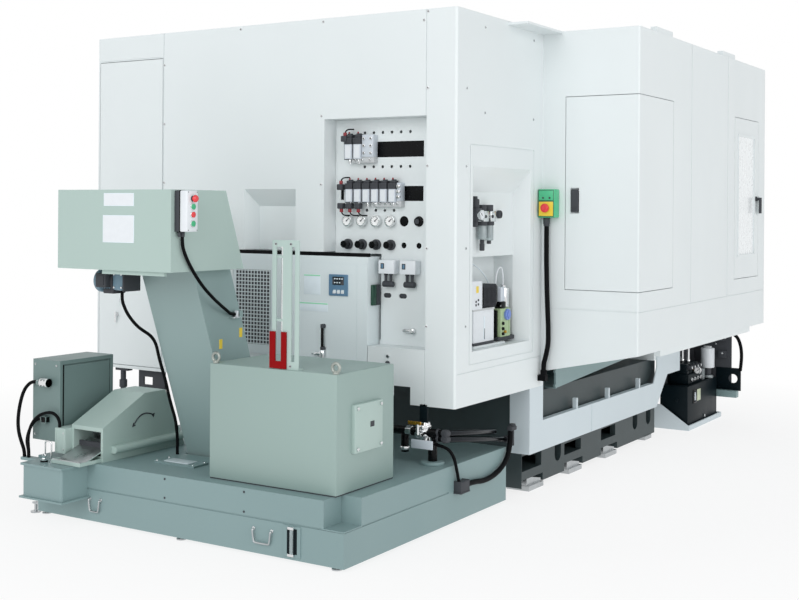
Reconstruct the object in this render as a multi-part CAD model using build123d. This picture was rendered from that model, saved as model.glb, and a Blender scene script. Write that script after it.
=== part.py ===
from build123d import *
import os
from math import atan2, cos, degrees, pi, radians, sin, sqrt, tan

# Horizontal machining centre, modelled in millimetres with +Z up.
# While modelling, X = 0 is the right face of the main enclosure, Y = 0 its rear face and Z = 0 the floor.
# The written parts are moved so that the origin lies at the centre of the foundation bolts, on the floor.

# Main enclosure
enc_w = 2720.0
enc_len = 4500.0
enc_bottom = 648.0
enc_top = 2850.0
panel_t = 8.0
seam_w = 6.0
seam_deep = 4.0
rear_skirt = 690.0
rear_notch = 747.0
cabinet_w = 579.0
corner_post_w = 194.0

# Magazine enclosure
mag_w = 631.0
mag_start = 1092.0
mag_len = 2698.0
mag_top = 2840.0
mag_bottom_in = 738.0
mag_bottom_out = 872.0
mag_seam = 1133.0

# Bed and foundation
bed_gap = 56.0
bed_w = 2140.0
bed_start = 932.0
bed_len = 2318.0
bed_top = 600.0
bed_foot = 28.0
bed_wall = 40.0
pocket_top = 77.0
pocket_starts = (943.0, 1571.0, 2190.0)
pocket_len = 300.0
bolt_inset = 64.0
bolt_hole_r = 13.0

# Doors
door_gap = 4.0
door_deep = 26.0
stop_t = 8.0

# Rear service openings
recess_x0 = -885.0
recess_x1 = -194.0
recess_z0 = 958.0
recess_z1 = 2260.0
recess_deep = 120.0
plate_t = 4.0
bay_x0 = -1479.0
bay_x1 = -1090.0
bay_top = 1855.0
bay_deep = 100.0
chiller_x0 = -1560.0
chiller_x1 = -577.0
chiller_z0 = 862.0
chiller_z1 = 1464.0
chiller_deep = 550.0
chiller_gap = 23.0

# Service bay in the right face
bay_y0 = 190.0
bay_y1 = 925.0
bay_z0 = 945.0
bay_z1 = 1983.0
bay_shelf = 1465.0
bay_panel_top = 1841.0
bay_panel_x = -100.0
bay_back_x = -230.0
bay_taper = 37.0

# Coolant tank
tank_x0 = -2140.0
tank_x1 = -35.0
tank_y0 = -1010.0
tank_y1 = 688.0
tank_z0 = 15.0
tank_seam = 190.0
tank_top = 330.0
tank_wall = 6.0
tank_step = 8.0

# Chip conveyor
riser_angle = 70.0
riser_w = 376.0
riser_x1 = -1100.0
riser_deep = 288.0
riser_mid_y = -348.0
trough_mid_z = 175.0
trough_end_y = 600.0
trough_half = 125.0
clip_z = 1152.0
duct_t = 4.0
sprocket_z = 1600.0
sprocket_r = 80.0
belt_t = 6.0
belt_pitch = 78.0
hinge_r = 11.0
head_x0 = -1819.0
head_x1 = -1002.0
head_front = -1170.0
head_z0 = 1408.0
head_z1 = 1832.0

# Column, head, table
column_x = -1360.0
column_travel = 350.0
rail_w = 60.0
rail_h = 44.0
slide_gap = 0.3
spindle_z = 1500.0
spindle_r = 80.0
shaft_gap = 0.1
table_y = 2750.0
pallet_size = 630.0

# Tool magazine
wheel_y = 2450.0
wheel_z = 1790.0
wheel_r = 640.0
pot_count = 24
pot_r = 48.0
axle_r = 45.0
arm_x = -600.0
arm_reach = 400.0


def block(x0, x1, y0, y1, z0, z1):
    """Box between two opposite corners."""
    return Pos((x0 + x1) / 2, (y0 + y1) / 2, (z0 + z1) / 2) * Box(x1 - x0, y1 - y0, z1 - z0)


def rod_x(radius, x0, x1, y, z):
    """Round bar along X."""
    return Pos((x0 + x1) / 2, y, z) * Rot(0, 90, 0) * Cylinder(radius, x1 - x0)


def rod_y(radius, x, y0, y1, z):
    """Round bar along Y."""
    return Pos(x, (y0 + y1) / 2, z) * Rot(90, 0, 0) * Cylinder(radius, y1 - y0)


def rod_z(radius, x, y, z0, z1):
    """Round bar along Z."""
    return Pos(x, y, (z0 + z1) / 2) * Cylinder(radius, z1 - z0)


def slab_x(outline, x0, x1):
    """Prism along X with an outline of (y, z) points."""
    face = Plane.YZ * make_face(Polyline(*outline, close=True))
    return extrude(Pos(x0, 0, 0) * face, x1 - x0, dir=(1, 0, 0))


def slab_y(outline, y0, y1):
    """Prism along Y with an outline of (x, z) points."""
    face = Plane.XZ * make_face(Polyline(*outline, close=True))
    return extrude(Pos(0, y0, 0) * face, y1 - y0, dir=(0, 1, 0))


def taper_y(rect0, y0, rect1, y1):
    """Pocket volume between two (x0, x1, z0, z1) rectangles at y0 and y1."""
    return loft([rect_face(rect0, Plane.XZ, Pos(0, y0, 0)), rect_face(rect1, Plane.XZ, Pos(0, y1, 0))])


def taper_x(rect0, x0, rect1, x1):
    """Pocket volume between two (y0, y1, z0, z1) rectangles at x0 and x1."""
    return loft([rect_face(rect0, Plane.YZ, Pos(x0, 0, 0)), rect_face(rect1, Plane.YZ, Pos(x1, 0, 0))])


def rect_face(rect, plane, place):
    """Rectangle face with bounds (a0, a1, b0, b1) in a plane."""
    a0, a1, b0, b1 = rect
    return place * (plane * make_face(Polyline((a0, b0), (a1, b0), (a1, b1), (a0, b1), close=True)))


def grown(rect, by, keep_low=False):
    """Rectangle grown on all sides, or on all but its low edge."""
    a0, a1, b0, b1 = rect
    return (a0 - by, a1 + by, b0 if keep_low else b0 - by, b1 + by)


def slot_z(width, height, x0, x1, y, z):
    """Upright slot with round ends, cut along X."""
    half = (height - width) / 2
    body = block(x0, x1, y - width / 2, y + width / 2, z - half, z + half)
    return body + rod_x(width / 2, x0, x1, y, z - half) + rod_x(width / 2, x0, x1, y, z + half)


def round_tube(points, radii, radius):
    """Hose along straight runs joined by tangent arcs."""
    path = FilletPolyline(*points, radius=radii)
    start = Plane(origin=path @ 0, z_dir=path % 0)
    return sweep(start * Circle(radius), path=path)


def bend_radii(points):
    """Largest even arc at each inner point of a route: 0.45 of the shorter run over tan of half the turn."""
    radii = []
    for before, here, after in zip(points, points[1:], points[2:]):
        first = Vector(here) - Vector(before)
        second = Vector(after) - Vector(here)
        half_turn = radians(first.get_angle(second)) / 2
        radii.append(0.45 * min(first.length, second.length) / tan(half_turn))
    return radii


def hose(name, points, radius):
    """Free or held hose with its bend radii printed."""
    radii = bend_radii(points)
    solid = round_tube(points, radii, radius)
    length = solid.volume / (pi * radius**2)
    print(name, "length", round(length), "least radius", round(min(radii)), "diameter", 2 * radius)
    return solid


# Structure

def bed_casting():
    """Ribbed bed with windows, levelling pockets and the guide rails bolted to its top."""
    x1 = -bed_gap
    x0 = x1 - bed_w
    y1 = bed_start + bed_len
    y0 = bed_start + panel_t
    outline = [(y0, bed_foot)]
    for start in pocket_starts:
        outline += [(start, bed_foot), (start, pocket_top)]
        outline += [(start + pocket_len, pocket_top), (start + pocket_len, bed_foot)]
    outline += [(y1, bed_foot), (y1, bed_top), (y0, bed_top)]
    bed = slab_x(outline, x0, x1)
    cell_w = (bed_w - 4 * bed_wall) / 3
    cell_rows = [(bed_start + bed_wall, 1520.0), (1560.0, 2140.0), (2180.0, y1 - bed_wall)]
    for column in range(3):
        cell_x = x0 + bed_wall + column * (cell_w + bed_wall)
        for row_start, row_end in cell_rows:
            bed -= block(cell_x, cell_x + cell_w, row_start, row_end, 130, bed_top - 50)
    for start, width, top in ((943.0, 277.0, 227.0), (1571.0, 270.0, 205.0), (2190.0, 263.0, 210.0)):
        bed -= block(x0 - 1, x1 + 1, start, start + width, 130, top)
    for middle in (1470.0, 2840.0, 3115.0):
        bed -= slot_z(96.0, 300.0, x0 - 1, x1 + 1, middle, 262.0)
    for rail_y in (1180.0, 1640.0):
        bed += block(x0 + 30, x1 - 250, rail_y - rail_w / 2, rail_y + rail_w / 2, bed_top, bed_top + rail_h)
    for side in (-300.0, 300.0):
        rail_x = column_x + side
        bed += block(rail_x - rail_w / 2, rail_x + rail_w / 2, 2150, y1 - 20, bed_top, bed_top + rail_h)
    return bed


def bolt_points():
    """Centres of the four foundation bolts."""
    first = pocket_starts[0] + 177
    last = pocket_starts[2] + 150
    right = -bed_gap - bolt_inset
    left = -bed_gap - bed_w + bolt_inset
    return [(x, y) for x in (left, right) for y in (first, last)]


def levelling_blocks():
    """Levelling pads and wedges in the pockets of the bed, with the bolt holes in the corner ones."""
    group = []
    right = -bed_gap - bolt_inset
    left = -bed_gap - bed_w + bolt_inset
    holes = bolt_points()
    middles = (holes[0][1], pocket_starts[1] + 150, holes[1][1])
    for x, outer in ((right, 1), (left, -1)):
        for middle in middles:
            reach = 78 * outer
            pad = block(min(x - reach, x + reach), max(x - reach, x + reach), middle - 105, middle + 105, 0, 30)
            top = [(middle - 100, 30), (middle + 100, 30), (middle + 100, 48), (middle - 40, pocket_top)]
            top.append((middle - 100, pocket_top))
            pad += slab_x(top, x - 60, x + 60)
            for bolt_x, bolt_y in holes:
                if abs(bolt_x - x) < 1 and abs(bolt_y - middle) < 1:
                    pad -= rod_z(bolt_hole_r, bolt_x, bolt_y, -1, 100)
            group.append(pad)
        front = bed_start + bed_len - 150
        group.append(block(x - 70, x + 70, front - 70, front + 70, 0, bed_foot))
    return Compound(group)


def side_trim():
    """White leg post with the trim panel along the right side, its joint and its brackets."""
    post_end = 1121.0
    trim_end = 3667.0
    low = 244.0
    ledge = 431.0
    seat = mag_bottom_in
    outline = [(bed_start, low), (3142.0, low), (3379.0, 467.0), (trim_end, 467.0), (trim_end, seat)]
    outline += [(3148.0, seat), (3148.0, 546.0), (3076.0, ledge), (post_end, ledge), (post_end, enc_bottom)]
    outline += [(bed_start, enc_bottom)]
    trim = slab_x(outline, -panel_t, 0)
    trim += block(-135, -panel_t, bed_start, bed_start + panel_t, low, enc_bottom)
    trim += block(-bed_gap, -panel_t, bed_start + panel_t, 3142.0, low, low + panel_t)
    trim += block(-40, -panel_t, post_end, 3060.0, ledge - panel_t, ledge)
    trim -= block(-seam_deep, 1, 1890, 1890 + seam_w, low - 1, ledge + 1)
    for bracket in (1640.0, 2190.0, 2776.0):
        trim += block(-30, -panel_t, bracket, bracket + 24, ledge, ledge + 70)
        trim += block(-panel_t, -2, bracket, bracket + 24, ledge, ledge + 70)
    return trim


def chip_chute():
    """Tapered chute under the magazine with its bolted end flange."""
    top = 735.0
    body = [(1350.0, 600.0), (2900.0, 690.0), (2900.0, top), (1350.0, top)]
    outer = slab_x(body, -250, -20)
    inner_outline = [(1340.0, 606.0), (2894.0, 696.0), (2894.0, top + 1), (1340.0, top + 1)]
    outer -= slab_x(inner_outline, -244, -26)
    flange = block(-275, -12, 1335, 1350, bed_top, top)
    flange -= block(-244, -26, 1334, 1351, 606, top + 1)
    for x in (-262.0, -18.0):
        for z in (620.0, 710.0):
            flange += rod_y(8, x, 1322, 1335, z)
    return outer + flange


# Enclosures

def rear_recess():
    """Rear opening volume for the valve plate, beside the chiller."""
    return block(recess_x0, recess_x1, -1, recess_deep, recess_z0, recess_z1)


def chiller_opening():
    """Opening in the rear face that the chiller fills."""
    side = 5.0
    return block(chiller_x0 - side, chiller_x1 + side, -1, panel_t + 1, chiller_z0 - 2, chiller_z1 + chiller_gap)


def main_enclosure():
    """Sheet enclosure: walls, roof, seams, and the lined recesses of the rear and right faces."""
    t = panel_t
    shell = block(-enc_w, 0, 0, enc_len, enc_bottom, enc_top)
    vertical = shell.edges().filter_by(Axis.Z)
    shell = fillet(vertical, 14)
    shell -= block(-enc_w + t, -t, t, enc_len - t, enc_bottom - 1, enc_top - t)
    shell -= block(-enc_w - 1, -398, -1, enc_len + 1, enc_bottom - 1, rear_skirt)
    shell -= block(-398.5, -286, -1, t + 1, enc_bottom - 1, rear_notch)
    shell -= block(-t - 1, 1, 1121.0, enc_len + 1, enc_bottom - 1, mag_bottom_in)
    shell -= block(-t - 1, 1, 1600, 3300, 900, 2600)
    shell -= block(-2100, -900, enc_len - t - 1, enc_len + 1, 900, 2200)
    shell = add_cabinet(shell)
    # Liner of the recess, with the flange that carries the valve plate
    seat = recess_deep + plate_t
    end = seat + t
    rim = 26.0
    liner = block(recess_x0 - t, recess_x1 + t, 1, end, recess_z0 - t, recess_z1 + t)
    chiller_zone = block(recess_x0 - 20, chiller_x1 + 5, -1, end + 1, recess_z0 - 20, chiller_z1 + chiller_gap)
    shell += liner - chiller_zone
    shell -= block(recess_x0, recess_x1, -1, seat, recess_z0, recess_z1)
    shell -= block(recess_x0 + rim, recess_x1 - rim, seat - 1, end + 1, recess_z0 + rim, recess_z1 - rim)
    # Tapered bay above the chiller
    sill = chiller_z1 + chiller_gap
    mouth = (bay_x0, bay_x1, sill, bay_top)
    floor = (bay_x0 + 41, bay_x1 - 41, sill, bay_top - 103)
    shell += taper_y(grown(mouth, t, True), 1, grown(floor, t, True), bay_deep + t)
    shell -= taper_y(mouth, -0.01, floor, bay_deep)
    shell -= chiller_opening()
    shell += block(chiller_x0 - 40, chiller_x1 + 40, t, chiller_deep + 10, chiller_z0 - 12, chiller_z0)
    for x in (chiller_x0 - 40, chiller_x1 + 30):
        shell += block(x, x + 10, t, chiller_deep + 10, chiller_z0 - 110, chiller_z0 - 12)
    # Service bay in the right face
    mouth = (bay_y0, bay_y1, bay_z0, bay_z1)
    inner = (bay_y0 + bay_taper, bay_y1 - bay_taper, bay_z0, bay_panel_top)
    cell = (inner[0], inner[1], bay_z0, bay_shelf)
    shell += taper_x(grown(mouth, t), -1, grown(inner, t), bay_panel_x - t)
    shell += block(bay_back_x - t, bay_panel_x, cell[0] - t, cell[1] + t, cell[2] - t, cell[3] + t)
    shell -= taper_x(mouth, 0.01, inner, bay_panel_x)
    shell -= block(bay_back_x, bay_panel_x + 1, cell[0], cell[1], cell[2], cell[3])
    shell = cut_main_seams(shell)
    # Base members that seat the enclosure on the bed
    shell += block(-enc_w + t, -t, 950, 1010, bed_top, rear_skirt + 40)
    for x0, x1 in ((-enc_w + t, -2100.0), (-200.0, -t)):
        shell += block(x0, x1, 3100, 3160, bed_top, mag_bottom_in + 30)
    shell += block(-200, -t, 3930, 3990, mag_bottom_in + 6, mag_bottom_in + 40)
    # Front door rails above and below the opening
    shell += block(-2130, -60, enc_len, enc_len + 60, 2240, 2256)
    shell += block(-2130, -60, enc_len, enc_len + 60, 844, 860)
    return shell


def add_cabinet(shell):
    """Electrical cabinet in the left rear corner: opening, stop frame and inner walls."""
    t = panel_t
    x0 = -enc_w + 16
    x1 = -enc_w + cabinet_w - 6
    z0 = rear_skirt + 20
    z1 = 2692.0
    deep = 480.0
    shell += block(-enc_w + 2, x1 + t, 2, deep + t, rear_skirt, enc_top - 2)
    shell -= block(-enc_w + t, x1, door_deep + slide_gap + t, deep, z0 - 12, enc_top - t)
    shell -= block(x0, x1, -1, door_deep + slide_gap, z0, z1)
    lip = 14.0
    shell -= block(x0 + lip, x1 - lip, door_deep, door_deep + 20, z0 + lip, z1 - lip)
    return shell


def cut_main_seams(shell):
    """Grooves where the panels of the main enclosure meet."""
    half = seam_w / 2
    for x in (-enc_w + cabinet_w, -corner_post_w):
        shell -= block(x - half, x + half, -1, seam_deep, enc_bottom, enc_top + 1)
    shell -= block(-enc_w, -enc_w + cabinet_w, -1, seam_deep, 2695, 2695 + seam_w)
    shell -= block(-seam_deep, 1, 12, mag_start, 836 - half, 836 + half)
    frame_y = (158.0, 968.0)
    frame_z = (875.0, 2103.0)
    for y in frame_y:
        shell -= block(-seam_deep, 1, y - half, y + half, frame_z[0], frame_z[1])
    for z in frame_z:
        shell -= block(-seam_deep, 1, frame_y[0], frame_y[1], z - half, z + half)
    return shell


def mag_outline(inset):
    """Cross-section (x, z) of the magazine enclosure, with its sloping underside."""
    lift = inset * 1.02
    x1 = mag_w - inset
    x0 = 0.0
    slope = (mag_bottom_out - mag_bottom_in) / mag_w
    low0 = mag_bottom_in + lift
    low1 = mag_bottom_in + slope * x1 + lift
    return [(x0, low0), (x1, low1), (x1, mag_top - inset), (x0, mag_top - inset)]


def magazine_enclosure():
    """Sheet housing of the tool magazine with its two door openings and roof lugs."""
    t = panel_t
    y1 = mag_start + mag_len
    shell = slab_y(mag_outline(0), mag_start, y1)
    shell = fillet(shell.edges().filter_by(Axis.Z).sort_by(Axis.X)[-2:], 10)
    outline = mag_outline(t)
    inner = [(-1, outline[0][1]), outline[1], outline[2], (-1, outline[3][1])]
    shell -= slab_y(inner, mag_start + t, y1 - t)
    low, high = corner_door_z()
    shell -= block(corner_door_x0(), mag_w + 1, mag_start - 1, corner_door_y1(), low, high)
    y0, y1d, z0, z1 = mag_door_frame()
    shell -= block(mag_w - t - 1, mag_w + 1, y0, y1d, z0, z1)
    half = seam_w / 2
    shell -= block(10, mag_w - 10, mag_start - 1, mag_start + seam_deep, mag_seam - half, mag_seam + half)
    shell -= block(mag_w - seam_deep, mag_w + 1, mag_start, y1, mag_seam - half, mag_seam + half)
    for y in (2040.0, 2831.0):
        shell -= block(mag_w - seam_deep, mag_w + 1, y - half, y + half, mag_seam, mag_top)
    for start in (1390.0, 2720.0):
        shell += block(mag_w - 46, mag_w - 6, start, start + 290, mag_top, mag_top + 34)
    shell = add_door_stops(shell)
    # Roof ledge between the two housings
    shell += block(0, 130, 606, mag_start + 2, mag_top - 14, mag_top)
    # Sill under the outer lower edge
    sill_x = 545.0
    low_edge = mag_bottom_in + (mag_bottom_out - mag_bottom_in) * sill_x / mag_w
    shell += block(sill_x, sill_x + 40, 1600, 3560, low_edge - 34, low_edge + 4)
    return shell


def corner_ledge(outer, inner, z0, z1):
    """Angle-shaped ledge round the housing corner, between two insets from its faces."""
    x0 = corner_door_x0() - 8
    y1 = corner_door_y1() + 8
    outline = [(x0, mag_start + outer), (mag_w - outer, mag_start + outer), (mag_w - outer, y1)]
    outline += [(mag_w - inner, y1), (mag_w - inner, mag_start + inner), (x0, mag_start + inner)]
    return extrude(Pos(0, 0, z0) * make_face(Polyline(*outline, close=True)), z1 - z0, dir=(0, 0, 1))


def add_door_stops(shell):
    """Stop frames that the corner door and the magazine door close against."""
    t = panel_t
    stop = door_deep + slide_gap
    low, high = corner_door_z()
    for z0, z1, lip0, lip1 in ((low - t, low, low - t, low + 16), (high, high + t, high - 16, high + t)):
        shell += corner_ledge(t, stop + stop_t, z0, z1)
        shell += corner_ledge(stop, stop + stop_t, lip0, lip1)
    y0, y1, z0, z1 = mag_door_frame()
    ring = block(mag_w - stop - stop_t, mag_w - t, y0 - t, y1 + t, z0 - t, z1 + t)
    ring -= block(mag_w - stop, mag_w, y0, y1, z0, z1)
    ring -= block(mag_w - stop - stop_t - 1, mag_w, y0 + 16, y1 - 16, z0 + 16, z1 - 16)
    return shell + ring


def corner_door_x0():
    """Left edge of the opening for the corner door."""
    return 153.0


def corner_door_y1():
    """Far edge of the opening for the corner door."""
    return 1690.0


def corner_door_z():
    """Lower and upper edge of the opening for the corner door."""
    return 1250.0, 2437.0


def mag_door_frame():
    """Opening for the magazine door: y0, y1, z0, z1."""
    return 2998.0, 3606.0, 1244.0, 2426.0


def maintenance_door():
    """Corner door: an angle-shaped folded panel that wraps the corner of the magazine housing."""
    low, high = corner_door_z()
    x0 = corner_door_x0() + door_gap
    y1 = corner_door_y1() - door_gap
    z0 = low + door_gap
    z1 = high - door_gap
    outer = [(x0, mag_start), (mag_w, mag_start), (mag_w, y1), (mag_w - door_deep, y1)]
    outer += [(mag_w - door_deep, mag_start + door_deep), (x0, mag_start + door_deep)]
    face = make_face(Polyline(*outer, close=True))
    door = extrude(Pos(0, 0, z0) * face, z1 - z0, dir=(0, 0, 1))
    corner = door.edges().filter_by(Axis.Z).sort_by(lambda e: e.center().X - e.center().Y)[-1]
    door = fillet(corner, 10)
    # Seat of the latch with its pivot pin
    door -= block(190, 246, mag_start - 1, mag_start + 16, 1720, 1876)
    door += rod_x(pin_r, 190, 246, mag_start + 4, latch_pivot_z)
    return door


pin_r = 3.0
latch_pivot_z = 1860.0


def maintenance_latch():
    """Lift handle of the corner door with its finger notch, on the pivot pin."""
    handle = block(194, 242, mag_start - 6, mag_start + 10, 1728, 1868)
    handle -= rod_x(pin_r + shaft_gap, 193, 243, mag_start + 4, latch_pivot_z)
    handle -= block(206, 230, mag_start - 7, mag_start - 2, 1736, 1760)
    return handle


def magazine_door():
    """Hinged magazine door with the frame of its window."""
    y0, y1, z0, z1 = mag_door_frame()
    door = block(mag_w - door_deep, mag_w, y0 + door_gap, y1 - door_gap, z0 + door_gap, z1 - door_gap)
    win = window_rect()
    door -= block(mag_w - door_deep - 1, mag_w + 1, win[0], win[1], win[2], win[3])
    frame = block(mag_w, mag_w + 5, win[0] - 16, win[1] + 16, win[2] - 16, win[3] + 16)
    frame -= block(mag_w - 1, mag_w + 6, win[0], win[1], win[2], win[3])
    pull = block(mag_w, mag_w + 22, y1 - 42, y1 - 18, 1717, 1855)
    return door + frame + pull


def window_rect():
    """Window in the magazine door: y0, y1, z0, z1."""
    return 3092.0, 3494.0, 1421.0, 2290.0


def door_window():
    """Pane of the magazine door, seated in its frame."""
    win = window_rect()
    return block(mag_w - 12, mag_w - 4, win[0], win[1], win[2], win[3])


def magazine_door_lever():
    """Turning lever of the magazine door on its round rose."""
    y = 3540.0
    z = 1835.0
    lever = rod_x(18, mag_w + 0.3, mag_w + 10, y, z)
    lever += rod_x(9, mag_w + 10, mag_w + 40, y, z)
    lever += block(mag_w + 28, mag_w + 44, y - 12, y + 12, z - 110, z + 10)
    return lever


def cabinet_door():
    """Door of the electrical cabinet in the rear face."""
    x0 = -enc_w + 16 + door_gap
    x1 = -enc_w + cabinet_w - 6 - door_gap
    door = block(x0, x1, 0, door_deep, rear_skirt + 20 + door_gap, 2692 - door_gap)
    door -= rod_y(14, -2535, -1, 14, 1040)
    door += block(-2575, -2515, -5, 0, 1096, 1140)
    return door


def cabinet_latch():
    """Key latch of the cabinet door with its wing handle and cam."""
    latch = rod_y(13.7, -2535, -8, 13.7, 1040)
    latch += block(-2541, -2529, -22, -8, 990, 1056)
    return latch


def operator_door():
    """Sliding front door with a framed window field and a bar handle."""
    y0 = enc_len + 2
    y1 = enc_len + 44
    door = block(-2120, -880, y0, y1, 860 + slide_gap, 2240 - slide_gap)
    door -= block(-1960, -1040, y1 - 14, y1 + 1, 1350, 2100)
    door += rod_z(14, -960, y1 + 40, 1250, 1750)
    for z in (1270.0, 1730.0):
        door += rod_y(10, -960, y1, y1 + 40, z)
    return door


def operator_console():
    """Console on the hidden front with its screen field, keys and knob."""
    y0 = enc_len
    body = block(-2640, -2220, y0, y0 + 150, 1050, 1960)
    body = fillet(body.edges().filter_by(Axis.Z).group_by(Axis.Y)[-1], 24)
    body -= block(-2600, -2260, y0 + 144, y0 + 151, 1560, 1900)
    for row in range(4):
        for column in range(6):
            x = -2590 + column * 54
            z = 1210 + row * 62
            body += block(x, x + 34, y0 + 150, y0 + 156, z, z + 34)
    body += rod_y(28, -2280, y0 + 150, y0 + 182, 1120)
    return body


def panel_screws():
    """Button-head screws of the enclosure panels."""
    group = []
    for x, zs in ((-2133.0, (2645.0, 2271.0, 1897.0)), (-184.0, (2842.0, 2412.0, 1980.0, 1523.0, 1091.0))):
        for z in zs:
            group.append(rod_y(9, x, -4, 0, z - 6 if z > 2830 else z))
    for x, z in ((-1514.0, 2830.0), (-896.0, 2830.0), (-210.0, 2789.0), (-905.0, 2280.0), (-905.0, 1880.0)):
        group.append(rod_y(9, x, -4, 0, z))
    for y, zs in ((110.0, (2411.0, 1979.0, 1524.0, 1092.0)), (324.0, (2775.0, 2289.0)), (955.0, (2775.0, 2292.0))):
        for z in zs:
            group.append(rod_x(9, 0, 4, y, z))
    return Compound(group)


# Rear services

def pneumatic_plate():
    """White plate at the back of the recess with its slots and hole rows."""
    y0 = recess_deep
    y1 = recess_deep + plate_t
    side = chiller_x1 + 17
    step = chiller_z1 + chiller_gap - 7
    outline = [(recess_x0 + 1, recess_z1 - 1), (recess_x1 - 1, recess_z1 - 1), (recess_x1 - 1, recess_z0 + 1)]
    outline += [(side, recess_z0 + 1), (side, step), (recess_x0 + 1, step)]
    plate = slab_y(outline, y0, y1)
    for x0, x1, z0, z1 in ((-655.0, -278.0, 2038.0, 2129.0), (-413.0, -280.0, 1786.0, 1872.0)):
        plate -= block(x0, x1, y0 - 1, y1 + 1, z0, z1)
    plate -= block(-847, -825, y0 - 1, y1 + 1, 1791, 1873)
    for row_z, first, count in ((2182.0, -680.0, 6), (1984.0, -680.0, 6), (1732.0, -725.0, 5)):
        for i in range(count):
            plate -= rod_y(9, first + i * 62, y0 - 1, y1 + 1, row_z)
    for x in (-408.0, -308.0):
        plate -= rod_y(30, x, y0 - 1, y1 + 1, 1670)
        plate -= rod_y(17, x, y0 - 1, y1 + 1, 1532)
    for x in (-517.0, -412.0):
        plate -= block(x - 12, x + 12, y0 - 1, y1 + 1, 1228, 1256)
        plate -= rod_y(14, x - 12, y0 - 1, y1 + 1, 1242)
        plate -= rod_y(14, x + 12, y0 - 1, y1 + 1, 1242)
    return plate


def valve(x, z, width, height):
    """One solenoid valve: body, coil and the plug on it."""
    y1 = recess_deep
    body = block(x, x + width, y1 - 62, y1, z, z + height * 0.55)
    body += block(x + 5, x + width - 5, y1 - 52, y1 - 4, z + height * 0.55, z + height)
    body += block(x + 10, x + width - 10, y1 - 74, y1 - 62, z + height * 0.1, z + height * 0.4)
    return body


def valve_banks():
    """Upper and lower valve banks and the two pressure switches with their fittings."""
    group = []
    for i in range(3):
        group.append(valve(-868 + i * 70, 2012, 62, 175))
    for i in range(6):
        group.append(valve(-815 + i * 59.5, 1763, 52, 160))
    for x in (-565.0, -430.0):
        y1 = recess_deep
        switch = block(x, x + 86, y1 - 62, y1 - 3, 1370, 1448)
        for stem_x in (x + 26, x + 60):
            switch += rod_z(8, stem_x, y1 - 30, 1310, 1370)
        switch += rod_x(17, x + 8, x + 78, y1 - 30, 1310)
        switch += rod_y(12, x + 43, y1 - 30, y1, 1310)
        group.append(switch)
    fitting = rod_y(18, -337, recess_deep - 26, recess_deep, 1047)
    group.append(fitting)
    return Compound(group)


def regulator_gauges():
    """Four round gauges with the regulator knobs under them."""
    group = []
    y1 = recess_deep
    for i in range(4):
        x = -803 + i * 98.7
        gauge = rod_y(33, x, y1 - 34, y1, 1670)
        gauge -= rod_y(28, x, y1 - 35, y1 - 30, 1670)
        gauge += rod_y(3, x, y1 - 31, y1 - 28, 1670)
        group.append(gauge)
        knob = rod_y(28, x - 3, y1 - 46, y1, 1533)
        knob += rod_y(20, x - 3, y1 - 64, y1 - 46, 1533)
        group.append(knob)
    return Compound(group)


grille_cols = 11
grille_rows = 10


def chiller_cabinet():
    """Chiller housing with its square-hole grille, controller, sight tube and drain elbow."""
    x0 = chiller_x0
    x1 = chiller_x1
    z0 = chiller_z0
    z1 = chiller_z1
    wall = 5.0
    body = block(x0, x1, 0, chiller_deep, z0, z1)
    body -= block(x0 + wall, -1085, wall, chiller_deep - wall, z0 + wall, z1 - wall)
    # Fan opening in the back wall
    body -= rod_y(170, -1330, chiller_deep - 6, chiller_deep + 1, 1150)
    for strut in (-44, 44):
        body += block(-1330 + strut - 8, -1330 + strut + 8, chiller_deep - wall, chiller_deep, z0 + 60, z1 - 60)
    body += rod_y(52, -1330, chiller_deep - 70, chiller_deep, 1150)
    pitch_x = 24.0
    pitch_z = 44.0
    holes = []
    for row in range(grille_rows):
        for column in range(grille_cols):
            cx = -1536 + column * pitch_x
            cz = 928 + row * pitch_z
            holes.append(block(cx, cx + 17, -1, wall + 1, cz, cz + 33))
    body -= holes
    # Line of the lid and of the front panel
    body -= block(x0, x1, -1, 2, 1418, 1422)
    body -= block(-650, -646, -1, 2, z0, 1418)
    # Controller with its display and keys
    body += block(-840, -710, -6, 0, 1236, 1358)
    body -= block(-815, -735, -7, -3, 1300, 1345)
    for key in (-808.0, -780.0, -752.0):
        body += block(key, key + 18, -8, -6, 1250, 1270)
    # Sight tube between its two elbows
    body += rod_z(8, -876, -20, 917, 1064)
    for z in (925.0, 1056.0):
        body += rod_y(12, -876, -22, 0, z)
    body += rod_z(14, -876, -20, 872, 917)
    body += rod_x(10, -930, -876, -20, 892)
    # Plug at the side
    body += block(x1, x1 + 14, 40, 108, 1190, 1300)
    return body


def chiller_fan():
    """Axial fan behind the grille: hub and seven blades on a shaft in the motor boss."""
    y_hub = chiller_deep - 110
    hub = rod_y(40, -1330, y_hub - 40, y_hub + 20, 1150)
    fan = hub + rod_y(12, -1330, y_hub + 20, chiller_deep - 70 - slide_gap, 1150)
    blade = Pos(0, 0, 92) * Rot(0, 0, 32) * Box(8, 62, 118)
    for i in range(7):
        fan += Pos(-1330, y_hub - 10, 1150) * Rot(0, 360.0 * i / 7, 0) * blade
    return fan


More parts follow.
